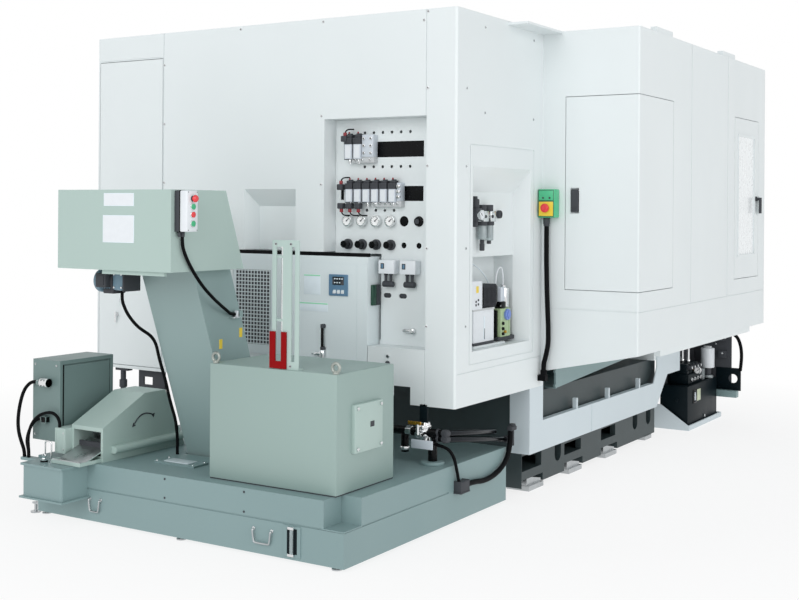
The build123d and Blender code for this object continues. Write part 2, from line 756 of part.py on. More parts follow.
def air_service_unit():
    """Filter, regulator and lubricator row on the panel of the right service bay."""
    face = bay_panel_x
    unit = block(face, face + 40, 300, 545, 1690, 1732)
    for y in (340.0, 425.0, 510.0):
        unit += block(face + 2, face + 62, y - 30, y + 30, 1672, 1750)
    unit += rod_x(30, face + 62, face + 84, 340, 1708)
    unit -= rod_x(25, face + 80, face + 85, 340, 1708)
    unit += rod_z(24, face + 34, 340, 1750, 1800)
    unit += rod_z(16, face + 34, 340, 1800, 1818)
    for y, low in ((425.0, 1566.0), (510.0, 1560.0)):
        unit += rod_z(27, face + 34, y, low, 1672)
        unit += rod_z(14, face + 34, y, low - 22, low)
    unit += rod_z(18, face + 34, 340, 1640, 1672)
    unit += rod_z(16, face + 34, 425, 1500, 1550)
    unit += rod_x(20, face, face + 8, 614, 1712)
    return unit


def lubricator():
    """Oil tank, junction box, motor and pump of the central lubrication on the bay floor."""
    face = -50.0
    floor = bay_z0
    unit = block(face - 130, face, 300, 680, floor, floor + 14)
    tank = block(face - 110, face - 10, 315, 571, floor + 14, 1165)
    tank -= block(face - 12, face - 9, 441, 453, 985, 1120)
    unit += tank
    unit += block(face - 60, face - 8, 300, 420, 1165, 1330)
    unit += rod_y(62, face - 75, 430, 640, 1232)
    unit += block(face - 110, face - 30, 430, 640, 1165, 1232)
    unit += block(face - 120, face - 20, 655, 860, floor + 14, 1155)
    unit += block(face - 120, face - 30, 680, 860, floor, floor + 14)
    unit += rod_z(24, face - 60, 700, 1155, 1270)
    unit += rod_z(38, face - 70, 800, 1155, 1285)
    return unit


# Emergency stop on the magazine housing

estop_x = 56.0
estop_z = 1752.0


def estop_box():
    """Emergency stop box with its raised frame, small lamp and gland."""
    y1 = mag_start
    y0 = y1 - 70
    body = block(8, 104, y0, y1, 1693, 1875)
    body = fillet(body.edges().filter_by(Axis.Y), 6)
    body -= block(20, 92, y0 - 1, y0 + 2, 1708, 1790)
    body -= block(20, 92, y0 - 1, y0 + 2, 1800, 1862)
    body -= rod_y(10.2, estop_x, y0 - 1, y0 + 42, estop_z)
    body += rod_y(7, estop_x, y0 - 4, y0 + 2, 1826)
    body += rod_z(21, 46, y0 + 36, 1655, 1693)
    return body


def mushroom(place, head_r, stem_r):
    """Mushroom button along +Z of its place: stem and domed head."""
    profile = [(0, -26), (stem_r, -26), (stem_r, 8), (head_r * 0.62, 9), (head_r, 15), (head_r, 20)]
    profile += [(head_r * 0.8, 27), (head_r * 0.45, 31), (0, 32)]
    face = Plane.XZ * make_face(Polyline(*profile, close=True))
    return place * revolve(face, Axis.Z)


def estop_button():
    """Red mushroom button of the emergency stop box."""
    place = Pos(estop_x, mag_start - 70, estop_z) * Rot(90, 0, 0)
    return mushroom(place, 21, 10)


def estop_conduit():
    """Conduit from the gland of the box down the housing to its elbow on the main enclosure."""
    x = 46.0
    y = mag_start - 34
    end = 752.0
    points = [(x, y, 1655), (x, y, 1430), (x + 6, y, 1210), (x + 16, y, 1010), (x + 16, y, 910), (x - 2, y, 830)]
    points += [(x - 14, y, 790), (x - 14, y, end)]
    elbow = block(0, 52, y - 20, y + 20, 686, 722) + rod_z(20, x - 14, y, 722, end)
    return hose("estop_conduit", points, 15) + elbow


# Coolant tank

def coolant_tank():
    """Open sheet tank with a stepped skirt, deck, corner cut-out, hatch, wire pulls and sight gauge."""
    w = tank_wall
    body = block(tank_x0, tank_x1, tank_y0, tank_y1, tank_z0, tank_top)
    body -= block(tank_x0 + w, tank_x1 - w, tank_y0 + w, tank_y1 - w, tank_z0 + w, tank_top - w)
    # Lower wall set back under the skirt of the deck
    groove = block(tank_x0 - 1, tank_x1 + 1, tank_y0 - 1, tank_y0 + 4, tank_seam - 4, tank_seam + 4)
    groove += block(tank_x1 - 4, tank_x1 + 1, tank_y0 - 1, 0, tank_seam - 4, tank_seam + 4)
    body -= groove
    # Deck opening for the conveyor and for the chips from the machine
    body -= block(riser_x1 - riser_w - 8, riser_x1 + 8, -520, 640, tank_top - w - 1, tank_top + 1)
    # Corner cut-out with its floor plate
    body -= block(tank_x1 - 120, tank_x1 + 1, tank_y0 - 1, tank_y0 + 150, tank_seam + 4, tank_top + 1)
    body += block(tank_x1 - 126, tank_x1, tank_y0, tank_y0 + 156, tank_seam - 2, tank_seam + 4)
    body += block(tank_x1 - 126, tank_x1 - 120, tank_y0, tank_y0 + 156, tank_seam, tank_top)
    body += block(tank_x1 - 126, tank_x1, tank_y0 + 150, tank_y0 + 156, tank_seam, tank_top)
    # Deck hatch
    body += block(-1455, -1165, -800, -680, tank_top, tank_top + 8)
    # Sight gauge channel
    body += block(-392, -290, tank_y0 - 5, tank_y0, 30, tank_seam - 8)
    body -= block(-372, -310, tank_y0 - 6, tank_y0 - 1, 44, tank_seam - 20)
    body += rod_z(8, -341, tank_y0 - 7, 40, tank_seam - 16)
    for x0, x1 in ((-581.0, -467.0), (-1725.0, -1645.0)):
        body += wire_pull(x0, x1)
    # Hose clamp on the side
    body += block(tank_x1, tank_x1 + 44, 60, 150, 180, 236)
    # Saddles under the trough of the conveyor
    for y in (-60.0, 480.0):
        body += block(riser_x1 - riser_w, riser_x1, y, y + 40, tank_z0 + w, trough_mid_z - trough_half)
    return body


def wire_pull(x0, x1):
    """Bent-wire pull on the front wall of the tank."""
    y = tank_y0 - 14
    top = 138.0
    low = 72.0
    r = 4.0
    points = [(x0, tank_y0, top), (x0, y, top), (x0 + 8, y, low), (x1 - 8, y, low), (x1, y, top), (x1, tank_y0, top)]
    return round_tube(points, [9, 14, 14, 9], r)


def tank_feet():
    """Levelling feet: plate, stem and bracket under the tank walls."""
    group = []
    places = [(x, y) for x in (tank_x0 + 40, (tank_x0 + tank_x1) / 2, tank_x1 - 60) for y in (tank_y0 + 30, tank_y1 - 60)]
    for x, y in places:
        group.append(rod_z(26, x, y, 0, 6) + rod_z(9, x, y, 6, tank_z0))
    corner = rod_z(30, tank_x0 - 30, tank_y0 + 12, 0, 7) + rod_z(9, tank_x0 - 30, tank_y0 + 12, 7, 60)
    corner += block(tank_x0 - 50, tank_x0, tank_y0 + 2, tank_y0 + 22, 48, 58)
    group.append(corner)
    return Compound(group)


tower_x0 = -945.0
tower_x1 = -139.0
tower_y0 = -929.0
tower_y1 = -405.0
tower_top = 930.0


def lifting_eye(x, y, z):
    """Eye bolt with its ring facing the rear."""
    ring = Pos(x, y, z + 26) * Rot(90, 0, 0) * Torus(19, 6)
    return ring + rod_z(9, x, y, z, z + 10)


def pump_tower():
    """Pump housing on the tank deck with its bolted side plate and two eye bolts."""
    body = block(tower_x0, tower_x1, tower_y0, tower_y1, tank_top, tower_top)
    body = fillet(body.edges().filter_by(Axis.Z).group_by(Axis.Y)[0], 6)
    body -= block(tower_x0 - 1, tower_x1 + 1, tower_y0 - 1, tower_y0 + 2, tank_top, tank_top + 5)
    body += block(tower_x1, tower_x1 + 4, -790, -508, 492, 762)
    for y in (-770.0, -528.0):
        for z in (512.0, 742.0):
            body += rod_x(8, tower_x1 + 4, tower_x1 + 8, y, z)
    for x in (tower_x0 + 40, tower_x1 - 40):
        body += lifting_eye(x, tower_y0 + 40, tower_top)
    return body


def level_post():
    """Slotted upright channel that guides the level rod."""
    x0 = -549.0
    x1 = -380.0
    y0 = tower_y0 + 12
    y1 = y0 + 40
    post = block(x0, x1, y0, y1, tower_top, tower_top + 650)
    post -= block(x0 + 6, x1 - 6, y0 + 5, y1 + 1, tower_top + 10, tower_top + 651)
    post -= block(x0 + 34, x0 + 74, y0 - 1, y0 + 6, tower_top + 34, tower_top + 616)
    post -= block(x1 - 62, x1 - 38, y0 - 1, y0 + 6, tower_top + 34, tower_top + 616)
    for z in (tower_top + 240, tower_top + 560):
        guide = block(x0 + 6, x0 + 96, y0 + 5, y1 - 4, z, z + 12)
        post += guide - rod_z(rod_r + shaft_gap, x0 + 54, y0 + 20, z - 1, z + 13)
    # Forked stop at the foot of the slot
    stop = block(x0 - 6, x0 + 97, y0 - 8, y0, tower_top + 10, tower_top + 184)
    return post + stop - block(x0 + 31, x0 + 64, y0 - 9, y0 + 1, tower_top + 45, tower_top + 185)


rod_r = 9.0


def level_rod():
    """Level rod with its scale strip and end cap."""
    x = -549.0 + 54
    y = tower_y0 + 32
    rod = rod_z(rod_r, x, y, tower_top + 14, tower_top + 610)
    rod += rod_z(14, x, y, tower_top + 610, tower_top + 630)
    rod += rod_z(13, x, y, tower_top + 14, tower_top + 34)
    return rod


def coolant_valves():
    """Valve cluster and supply pipes under the rear of the enclosure."""
    unit = rod_x(24, -420, -120, 20, 500)
    unit += rod_z(30, -200, 20, 440, 560)
    unit += rod_y(20, -200, -60, 20, 500)
    unit += block(-262, -178, -66, -56, 552, 572)
    unit += rod_z(10, -200, -60, 500, 556)
    unit += rod_z(22, -330, 20, 380, 500)
    unit += rod_z(26, -150, 20, tank_top, 440)
    unit += rod_x(26, -150, -130, 20, 440)
    unit += block(-230, -95, -80, -72, 428, 476)
    unit += rod_y(8, -160, -72, 20, 438)
    for z, drop in ((508.0, 0.0), (452.0, 12.0)):
        unit += rod_y(17, -70, 20, 700, z)
        unit += rod_x(17, -150, -70, 20, z)
    unit += block(-90, -50, 690, 700, 436, 524)
    unit += block(-90, 10, 682, 718, 428, 442)
    unit += block(-225, -175, 0, 12, 540, enc_bottom)
    return unit


def coolant_hose():
    """Hose from the pipe bracket down to the clamp on the tank side."""
    x = tank_x1 + 22
    points = [(x, 700, 428), (x, 700, 352), (x, 664, 276), (x, 592, 226), (x, 480, 196), (x, 360, 190)]
    points += [(x, 250, 208), (x, 150, 208)]
    return hose("coolant_hose", points, 15)


# Chip conveyor

def riser_point(z, across):
    """Y of a line along the riser at height z, offset by a distance square to it (front side negative)."""
    mid = riser_mid_y - (z - tank_top) / tan(radians(riser_angle))
    return mid + across / sin(radians(riser_angle))


def duct_outline(inset):
    """Side outline (y, z) of the bent conveyor duct."""
    half = riser_deep / 2 - inset
    low = trough_mid_z - trough_half + inset
    high = trough_mid_z + trough_half - inset
    top = sprocket_z + 60
    rear_high = riser_point(high, half)
    front_low = riser_point(low, -half)
    outline = [(riser_point(top, -half), top), (riser_point(top, half), top), (rear_high, high)]
    outline += [(trough_end_y - inset, high), (trough_end_y - inset, low), (front_low, low)]
    return outline


def conveyor_casing():
    """Bent sheet duct: trough in the tank and riser up to the head, open at its top and over the trough."""
    x0 = riser_x1 - riser_w
    x1 = riser_x1
    casing = slab_x(duct_outline(0), x0, x1)
    casing -= slab_x(duct_outline(duct_t), x0 + duct_t, x1 - duct_t)
    casing -= block(x0 + duct_t, x1 - duct_t, -1600, 700, sprocket_z - 150, sprocket_z + 200)
    casing -= block(x0 + duct_t, x1 - duct_t, 0, trough_end_y - duct_t, trough_mid_z + 100, trough_mid_z + 130)
    casing -= rod_x(30, x0 - 1, x1 + 1, riser_point(sprocket_z, 0), sprocket_z)
    # Rear edge set back where the head wall takes over
    sides = ((134, head_z0), (134, 1700), (146, 1700), (146, head_z0))
    casing -= slab_x([(riser_point(z, across), z) for across, z in sides], x0 - 1, x1 + 1)
    # Slide rails under the belt
    rail_top = trough_mid_z - sprocket_r - hinge_r - slide_gap
    for x in (x0 + 50, x1 - 70):
        casing += block(x, x + 20, 20, 420, trough_mid_z - trough_half + duct_t / 2, rail_top)
    # Cable clip on the rear edge of the riser
    clip_y = riser_point(clip_z, riser_deep / 2) - 46
    return casing + block(x1 - 1, x1 + 32, clip_y, clip_y + 30, clip_z - 18, clip_z + 18)


def head_outline(inset):
    """Side outline (y, z) of the conveyor head, its rear edge in line with the riser."""
    lean = 1 / tan(radians(riser_angle))
    back = riser_point(head_z0, riser_deep / 2)
    low = head_z0
    high = head_z1 - inset
    top_back = back - (high - head_z0) * lean - inset
    return [(head_front + inset, low), (head_front + inset, high), (top_back, high), (back - inset, low)]


def conveyor_head():
    """Head housing with its discharge mouth, lower lip and bearing plates."""
    t = 6.0
    head = slab_x(head_outline(0), head_x0, head_x1)
    inner = head_outline(t)
    inner[0] = (inner[0][0], head_z0 + t)
    inner[3] = (inner[3][0], head_z0 + t)
    head -= slab_x(inner, head_x0 + t, head_x1 - t)
    mouth_x0 = riser_x1 - riser_w
    mouth_x1 = riser_x1
    head -= block(mouth_x0, mouth_x1, head_front + 40, riser_point(head_z0, -riser_deep / 2), head_z0 - 1, head_z0 + t + 1)
    slot = [(riser_point(z, side * riser_deep / 2), z) for side, z in
            ((-1, head_z0 - 1), (-1, head_z0 + t + 1), (1, head_z0 + t + 1), (1, head_z0 - 1))]
    head -= slab_x(slot, mouth_x0, mouth_x1)
    lip = block(mouth_x0 - 30, mouth_x1 + 34, head_front + 20, head_front + 40, head_z0 - 22, head_z0)
    head += lip
    # Bearing plates beside the riser, bored for the sprocket shaft
    shaft_y = riser_point(sprocket_z, 0)
    for x0, x1 in ((mouth_x0 - 14, mouth_x0 - 2), (mouth_x1 + 2, mouth_x1 + 14)):
        plate = block(x0, x1, shaft_y - 60, shaft_y + 60, head_z0 + t, sprocket_z + 60)
        plate -= rod_x(22 + shaft_gap, x0 - 1, x1 + 1, shaft_y, sprocket_z)
        head += plate
    return head


def belt_places():
    """Places and headings of the slats and of the hinges between them, round the closed belt path."""
    half = sprocket_r
    bend_y = riser_point(trough_mid_z, 0)
    top_y = riser_point(sprocket_z, 0)
    path = FilletPolyline((trough_end_y - 130, trough_mid_z), (bend_y, trough_mid_z), (top_y, sprocket_z), radius=320)
    loop = offset(path, half, kind=Kind.ARC, side=Side.BOTH)
    wire = loop.wires()[0]
    count = int(wire.length / belt_pitch)
    slats = [(wire @ (i / count), wire % (i / count)) for i in range(count)]
    hinges = [wire @ ((i + 0.5) / count) for i in range(count)]
    return slats, hinges


def conveyor_belt():
    """Hinged steel slats with their hinge barrels along the closed loop."""
    x0 = riser_x1 - riser_w + 30
    x1 = riser_x1 - 30
    places, hinges = belt_places()
    pieces = []
    for point, tangent in places:
        angle = degrees(atan2(tangent.Y, tangent.X))
        slat = Pos((x0 + x1) / 2, 0, 0) * Box(x1 - x0, belt_pitch - 8, belt_t)
        pieces.append(Pos(0, point.X, point.Y) * Rot(angle, 0, 0) * slat)
    for point in hinges:
        side = hinge_r * sqrt(2)
        barrel = Pos((x0 + x1) / 2, point.X, point.Y) * Rot(45, 0, 0) * Box(x1 - x0 - 12, side, side)
        pieces.append(barrel)
    return pieces[0] + pieces[1:]


def drive_sprockets():
    """Sprocket shaft with two toothed wheels inside the belt."""
    y = riser_point(sprocket_z, 0)
    x0 = riser_x1 - riser_w
    x1 = riser_x1
    shaft = rod_x(22, x0 - 60, x1 + 14, y, sprocket_z)
    shaft += rod_x(52, x0 - 52, x0 - 40, y, sprocket_z)
    for wheel_x in (x0 + 60, x1 - 76):
        wheel = rod_x(sprocket_r - belt_t - 12, wheel_x, wheel_x + 16, y, sprocket_z)
        for i in range(8):
            tooth = Pos(wheel_x + 8, 0, 0) * Box(16, 16, 12)
            arm = Rot(45 * i, 0, 0) * Pos(0, 0, sprocket_r - belt_t - 14) * tooth
            wheel += Pos(0, y, sprocket_z) * arm
        shaft += wheel
    return shaft


def gear_motor():
    """Gear motor hung under the head beside the riser: gearbox, motor, fan cowl and terminal box."""
    x1 = riser_x1 - riser_w - 2
    y = -950.0
    z = 1335.0
    unit = block(x1 - 96, x1, y - 66, y + 60, z - 50, head_z0)
    unit += rod_x(58, x1 - 250, x1 - 96, y, z)
    unit += rod_x(64, x1 - 300, x1 - 250, y, z)
    unit += block(x1 - 210, x1 - 120, y - 92, y - 40, z - 30, z + 44)
    for i in range(6):
        fin_x = x1 - 236 + i * 22
        unit += rod_x(63, fin_x, fin_x + 6, y, z)
    return unit


# Pendant station

pendant_y0 = -1147.0
pendant_y1 = -1063.0
pendant_z0 = 1616.0
pendant_z1 = 1828.0
pendant_base = 37.0
pendant_cover = 50.0
button_zs = (1745.0, 1704.0, 1658.0)
mushroom_z = 1786.0


def pendant_box():
    """Push-button station on the side of the head: base, cover and gland."""
    x0 = head_x1
    x1 = x0 + pendant_base
    x2 = x1 + pendant_cover
    body = block(x0, x1, pendant_y0, pendant_y1, pendant_z0, pendant_z1)
    cover = block(x1, x2, pendant_y0 + 1, pendant_y1 - 1, pendant_z0 + 1, pendant_z1 - 1)
    body += fillet(cover.edges().filter_by(Axis.X), 6)
    middle = (pendant_y0 + pendant_y1) / 2
    for z in button_zs + (mushroom_z,):
        body -= rod_x(11.2, x2 - 40, x2 + 1, middle, z)
    body += rod_z(13, x0 + 18, middle, pendant_z0 - 26, pendant_z0)
    return body


def pendant_mushroom():
    """Red mushroom button of the pendant station."""
    x2 = head_x1 + pendant_base + pendant_cover
    place = Pos(x2, (pendant_y0 + pendant_y1) / 2, mushroom_z) * Rot(0, 90, 0)
    return mushroom(place, 19, 10.8)


def pendant_button(z):
    """Flat push button of the pendant station."""
    x2 = head_x1 + pendant_base + pendant_cover
    middle = (pendant_y0 + pendant_y1) / 2
    return rod_x(10.9, x2 - 26, x2 + 9, middle, z)


def pendant_cable():
    """Cable that hangs from the pendant gland to the clip on the rear edge of the riser."""
    x = head_x1 + 18
    y = (pendant_y0 + pendant_y1) / 2
    end = riser_point(clip_z, riser_deep / 2) - 46
    points = [(x, y, 1590), (x, y, 1548), (x, y + 20, 1500), (x - 2, y + 62, 1440), (x - 8, y + 118, 1380)]
    points += [(x - 18, y + 186, 1322), (x - 34, y + 270, 1268), (x - 54, y + 360, 1220), (x - 76, y + 440, 1184)]
    points += [(x - 96, end - 56, clip_z), (x - 96, end, clip_z)]
    return hose("pendant_cable", points, 9)


def motor_cable():
    """Cable from the gearbox foot down along the front left edge of the riser to the deck."""
    x = riser_x1 - riser_w - 14
    top = 1285.0
    points = [(x - 60, -956, top), (x - 60, -956, top - 60), (x - 48, -928, top - 130), (x - 24, -878, top - 200)]
    for i in range(5):
        z = 1010.0 - 120 * i
        points.append((x - i % 2, riser_point(z, -riser_deep / 2 - 12 - 5 * (i % 2)), z))
    points += [(x - 10, -560, 430), (x - 12, -558, 380), (x - 12, -558, tank_top)]
    return hose("motor_cable", points, 9)


# Secondary separator beside the tank deck

cover_x0 = -1919.0
cover_x1 = -1678.0
cover_front = -966.0
cover_back = -300.0
case_top = 500.0
drum_y = -740.0
drum_z = 480.0
drum_r = 92.0


def separator_cover():
    """Sloped cover with its open front end, side plates and tubular side rail."""
    outer = [(cover_front, tank_top), (cover_front, 519.0), (-640.0, 675.0), (-470.0, 675.0), (cover_back, 330.0)]
    cover = slab_x(outer, cover_x0, cover_x1)
    inner = [(cover_front - 1, tank_top + 34), (cover_front - 1, 496.0), (-644.0, 669.0), (-474.0, 669.0)]
    inner += [(cover_back - 6, tank_top + 5), (-900.0, tank_top + 5)]
    cover -= slab_x(inner, cover_x0 + 16, cover_x1 - 16)
    cover -= rod_x(journal_r + shaft_gap, cover_x0 + 4, cover_x1 - 6, drum_y, drum_z)
    rail = block(cover_x1, cover_x1 + 20, -900, -310, 372, 412) + rod_y(20, cover_x1 + 20, -900, -310, 392)
    cover += rail
    # Side drive case
    cover += block(cover_x0 - 81, cover_x0, cover_front - 50, cover_front + 180, 360, case_top)
    # Scraper chute inside the mouth and the tray in front of it
    chute = [(-850.0, 428.0), (-850.0, 424.0), (cover_front - 120, 340.0), (cover_front - 120, 344.0)]
    cover += slab_x(chute, cover_x0 + 16, cover_x1 - 16)
    tray = block(cover_x0 + 10, cover_x1 - 10, cover_front - 160, cover_front + 1, 332, 352)
    tray -= block(cover_x0 + 16, cover_x1 - 16, cover_front - 154, cover_front + 2, 336, 353)
    cover += tray
    return cover


journal_r = 20.0


def separator_drum():
    """Separator drum with end journals, seen through the open end of its cover."""
    drum = rod_x(drum_r, cover_x0 + 22, cover_x1 - 22, drum_y, drum_z)
    drum += rod_x(journal_r, cover_x0 + 5, cover_x1 - 7, drum_y, drum_z)
    for i in range(8):
        angle = 45.0 * i
        rib = Rot(angle, 0, 0) * Pos((cover_x0 + cover_x1) / 2, 0, drum_r) * Box(cover_x1 - cover_x0 - 48, 10, 8)
        drum += Pos(0, drum_y, drum_z) * rib
    return drum


entry_x = -2216.0
entry_y = -1044.0
entry_z = 318.0


def separator_box():
    """Box in front of the tank with flanged lid and foot, eye nut and wire bail."""
    x0 = -2053.0
    x1 = -1749.0
    y0 = -1200.0
    y1 = tank_y0
    box = block(x0, x1, y0, y1, 148, 318)
    box = fillet(box.edges().filter_by(Axis.Z).group_by(Axis.Y)[0], 14)
    box += block(x0 - 8, x1 + 8, y0 - 8, y1, 318, 330)
    box += block(x0 - 14, x1 + 14, y0 - 12, y1, 138, 148)
    box += rod_z(20, -1960, -1130, 330, 344) + rod_z(11, -1960, -1130, 344, 366)
    box += block(entry_x - 14, x0, entry_y - 16, y1 - 2, entry_z - 16, entry_z)
    points = [(-2030, -1060, 330), (-2030, -1060, 430), (-1980, -1060, 430), (-1980, -1060, 330)]
    return box + round_tube(points, [20, 20], 4)


gland_y = -1005.0


def junction_box():
    """Electrical box on a leg, with its sealed side lid and two glands."""
    x0 = -2225.0
    x1 = -2005.0
    y0 = -979.0
    y1 = -563.0
    box = block(x0, x1, y0, y1, 410, 868)
    box = fillet(box.edges().filter_by(Axis.Z), 5)
    box -= block(x1 - 10, x1 + 1, y0 + 22, y1 - 22, 432, 846)
    box += block(x1 - 10, x1 - 3, y0 + 30, y1 - 30, 440, 838)
    box += block(-2112, -2072, y0 - 46, y0, 722, 764)
    box += rod_x(26, -2122, -2064, gland_y, 743) + rod_x(20, -2150, -2122, gland_y, 743)
    box += block(-2122, -2082, y0 - 32, y0, 514, 552)
    box += block(x0 + 60, x1 - 60, y1 - 120, y1 - 60, tank_top, 410)
    box += block(x1 - 66, tank_x0 + 160, y1 - 120, y1 - 60, tank_top, tank_top + 6)
    return box


def conduit_upper():
    """Conduit from the upper gland of the junction box to the entry plate of the separator box."""
    y = gland_y
    points = [(-2150, y, 743), (-2186, y, 743), (-2218, y - 3, 731), (-2244, y - 10, 704), (-2258, y - 20, 666)]
    points += [(-2268, y - 32, 600), (-2270, y - 42, 520), (-2258, y - 46, 455), (-2238, y - 43, 400)]
    points += [(entry_x, entry_y, 352), (entry_x, entry_y, entry_z)]
    return hose("conduit_upper", points, 10)


def conduit_lower():
    """Two conduits: from the drive case and from the lower gland to the entry plate."""
    x = -1980.0
    y = cover_front - 34
    z = case_top
    points = [(x, y, z), (x, y, z + 24), (x - 8, y - 1, z + 46), (x - 23, y - 3, z + 64), (x - 44, y - 6, z + 76)]
    points += [(x - 68, y - 10, z + 80), (x - 107, y - 17, z + 73), (x - 149, y - 25, z + 54)]
    points += [(x - 181, y - 33, z + 21), (x - 202, y - 39, z - 24), (x - 209, y - 43, z - 73)]
    points += [(x - 205, y - 44, 380), (entry_x + 36, entry_y, 350), (entry_x + 36, entry_y, entry_z)]
    first = hose("conduit_lower", points, 9)
    y = gland_y + 10
    points = [(-2122, y, 533), (-2148, y, 533), (-2172, y - 3, 524), (-2193, y - 7, 506), (-2210, y - 13, 479)]
    points += [(-2222, y - 20, 441), (-2224, y - 27, 398), (entry_x + 13, entry_y + 18, 352)]
    points += [(entry_x + 13, entry_y + 18, entry_z)]
    return Compound([first, hose("conduit_middle", points, 9)])


# Hydraulic unit

def hydraulic_unit():
    """Hydraulic power unit: tray, tank, level sight, valve stack, filter, gauge and bracket plate."""
    x0 = -150.0
    x1 = 78.0
    y0 = 3631.0
    y1 = 4376.0
    unit = block(x0 - 40, x1 + 22, y0 - 22, y1 + 60, 0, 40)
    unit -= block(x0 - 30, x1 + 12, y0 - 12, y1 + 50, 12, 41)
    unit += block(x0, x1, y0, y1, 12, 341)
    unit += block(x1, x1 + 6, 3756, 3948, 200, 300)
    unit += rod_z(53, -30, 4280, 341, 362) + rod_z(50, -30, 4280, 400, 580) + rod_z(30, -30, 4280, 362, 400)
    unit += block(-120, 40, 3760, 4080, 341, 420)
    for i in range(4):
        unit += block(-100, 20, 3780 + i * 74, 3840 + i * 74, 420, 500)
    unit += rod_z(8, 30, 3900, 420, 470) + rod_y(34, 30, 3884, 3900, 500)
    unit += block(-120, 40, 4120, 4180, 341, 430)
    unit += rod_y(20, -100, 4180, 4376, 400)
    unit += block(-150, -60, 4200, 4376, 341, 380)
    plate = block(60, 262, 4420, 4436, 40, 372)
    plate -= rod_y(38, 214, 4419, 4437, 300)
    unit += plate
    unit += block(60, 262, 4380, 4436, 30, 40)
    for x in (-80.0, -30.0):
        unit += rod_z(11, x, 3960, 420, mag_bottom_in + 6)
    return unit


# Machine axes

def column():
    """Travelling column: foot with bearing pads, two ribbed uprights and the top bridge."""
    x = column_x
    low = bed_top + rail_h + slide_gap
    body = block(x - 430, x + 430, 1080, 1740, low, low + 110)
    for side in (-1, 1):
        outer = [(x + side * 200, low + 110), (x + side * 430, low + 110), (x + side * 330, 2350), (x + side * 200, 2350)]
        body += slab_y(outer, 1120, 1700)
    body += block(x - 330, x + 330, 1120, 1700, 2350, 2500)
    for side in (-1, 1):
        rail_x = x + side * 265
        body += block(rail_x - 25, rail_x + 25, 1700, 1730, low + 120, 2480)
    return body


def spindle_head():
    """Head that rises between the uprights: saddle plate, ram, nose and motor."""
    x = column_x
    z = spindle_z
    head = block(x - 330, x + 330, 1730 + slide_gap, 1800, z - 230, z + 230)
    head += block(x - 180, x + 180, 1280, 1960, z - 180, z + 180)
    head += rod_y(140, x, 1960, 2040, z)
    head += rod_y(150, x, 1080, 1280, z)
    head -= rod_y(spindle_r + shaft_gap, x, 1300, 2041, z)
    return head


def spindle():
    """Spindle shaft with its face flange, taper bore and drive keys."""
    x = column_x
    z = spindle_z
    shaft = rod_y(spindle_r, x, 1320, 2041, z)
    shaft += rod_y(100, x, 2041, 2060, z)
    cone = Pos(x, 2010, z) * Rot(-90, 0, 0) * Cone(30, 45, 101)
    shaft -= cone
    for side in (-1, 1):
        shaft += block(x + side * 70 - 12, x + side * 70 + 12, 2060, 2068, z - 10, z + 10)
    return shaft


def table_saddle():
    """Table saddle on the bed rails with the round seat of the pallet."""
    low = bed_top + rail_h + slide_gap
    saddle = block(column_x - 370, column_x + 370, table_y - 340, table_y + 340, low, low + 180)
    saddle += rod_z(280, column_x, table_y, low + 180, low + 230)
    saddle -= rod_z(60 + shaft_gap, column_x, table_y, low + 60, low + 231)
    return saddle


tap_pitch = 160.0
tap_r = 8.0


def pallet():
    """Square pallet with chamfered corners, a tapped hole grid and its centre pivot."""
    low = bed_top + rail_h + slide_gap + 230 + slide_gap
    half = pallet_size / 2
    body = block(column_x - half, column_x + half, table_y - half, table_y + half, low, low + 120)
    body = chamfer(body.edges().filter_by(Axis.Z), 60)
    body += rod_z(60, column_x, table_y, low - 150, low)
    for i in (-1, 1):
        for j in (-1, 1):
            body -= rod_z(tap_r, column_x + i * tap_pitch / 2, table_y + j * tap_pitch / 2, low + 60, low + 121)
    return body


def magazine_stand():
    """Stand on the bed that carries the magazine axle and the drive of the changer arm."""
    stand = block(-430, -280, wheel_y - 80, wheel_y + 80, bed_top, wheel_z + 110)
    stand += rod_x(axle_r, -280, 470, wheel_y, wheel_z)
    stand += block(arm_x - 110, -430, wheel_y - 320, wheel_y - 160, wheel_z - 90, wheel_z + 90)
    stand += block(-430, -280, wheel_y - 320, wheel_y - 80, wheel_z - 90, wheel_z + 90)
    stand -= rod_y(35 + shaft_gap, arm_x, wheel_y - 321, wheel_y - 200, wheel_z)
    return stand


def magazine_wheel():
    """Tool wheel: spoked disc with tool pots round its rim, turning on the axle."""
    x0 = 190.0
    x1 = 214.0
    wheel = rod_x(wheel_r + 20, x0, x1, wheel_y, wheel_z)
    wheel += rod_x(95, x0 - 60, x1 + 60, wheel_y, wheel_z)
    wheel -= rod_x(axle_r + shaft_gap, x0 - 61, x1 + 61, wheel_y, wheel_z)
    for i in range(6):
        angle = radians(60 * i + 30)
        hole_y = wheel_y + cos(angle) * 320
        hole_z = wheel_z + sin(angle) * 320
        wheel -= rod_x(120, x0 - 1, x1 + 1, hole_y, hole_z)
    for i in range(pot_count):
        angle = 2 * pi * i / pot_count
        pot_y = wheel_y + cos(angle) * wheel_r
        pot_z = wheel_z + sin(angle) * wheel_r
        wheel += rod_x(pot_r, x0 - 70, x1 + 40, pot_y, pot_z)
    return wheel


def changer_arm():
    """Double gripper arm on its shaft."""
    y1 = wheel_y - 330
    y0 = y1 - 44
    arm = block(arm_x - 50, arm_x + 50, y0, y1, wheel_z - arm_reach + 40, wheel_z + arm_reach - 40)
    arm += rod_y(80, arm_x, y0 - 14, y1 + 9, wheel_z)
    arm += rod_y(35, arm_x, y1 + 9, wheel_y - 210, wheel_z)
    for side in (-1, 1):
        z = wheel_z + side * arm_reach
        grip = rod_y(62, arm_x, y0, y1, z)
        grip -= rod_y(34, arm_x, y0 - 1, y1 + 1, z)
        grip -= block(arm_x - 22, arm_x + 90, y0 - 1, y1 + 1, z - 22, z + 22)
        arm += grip
    return arm


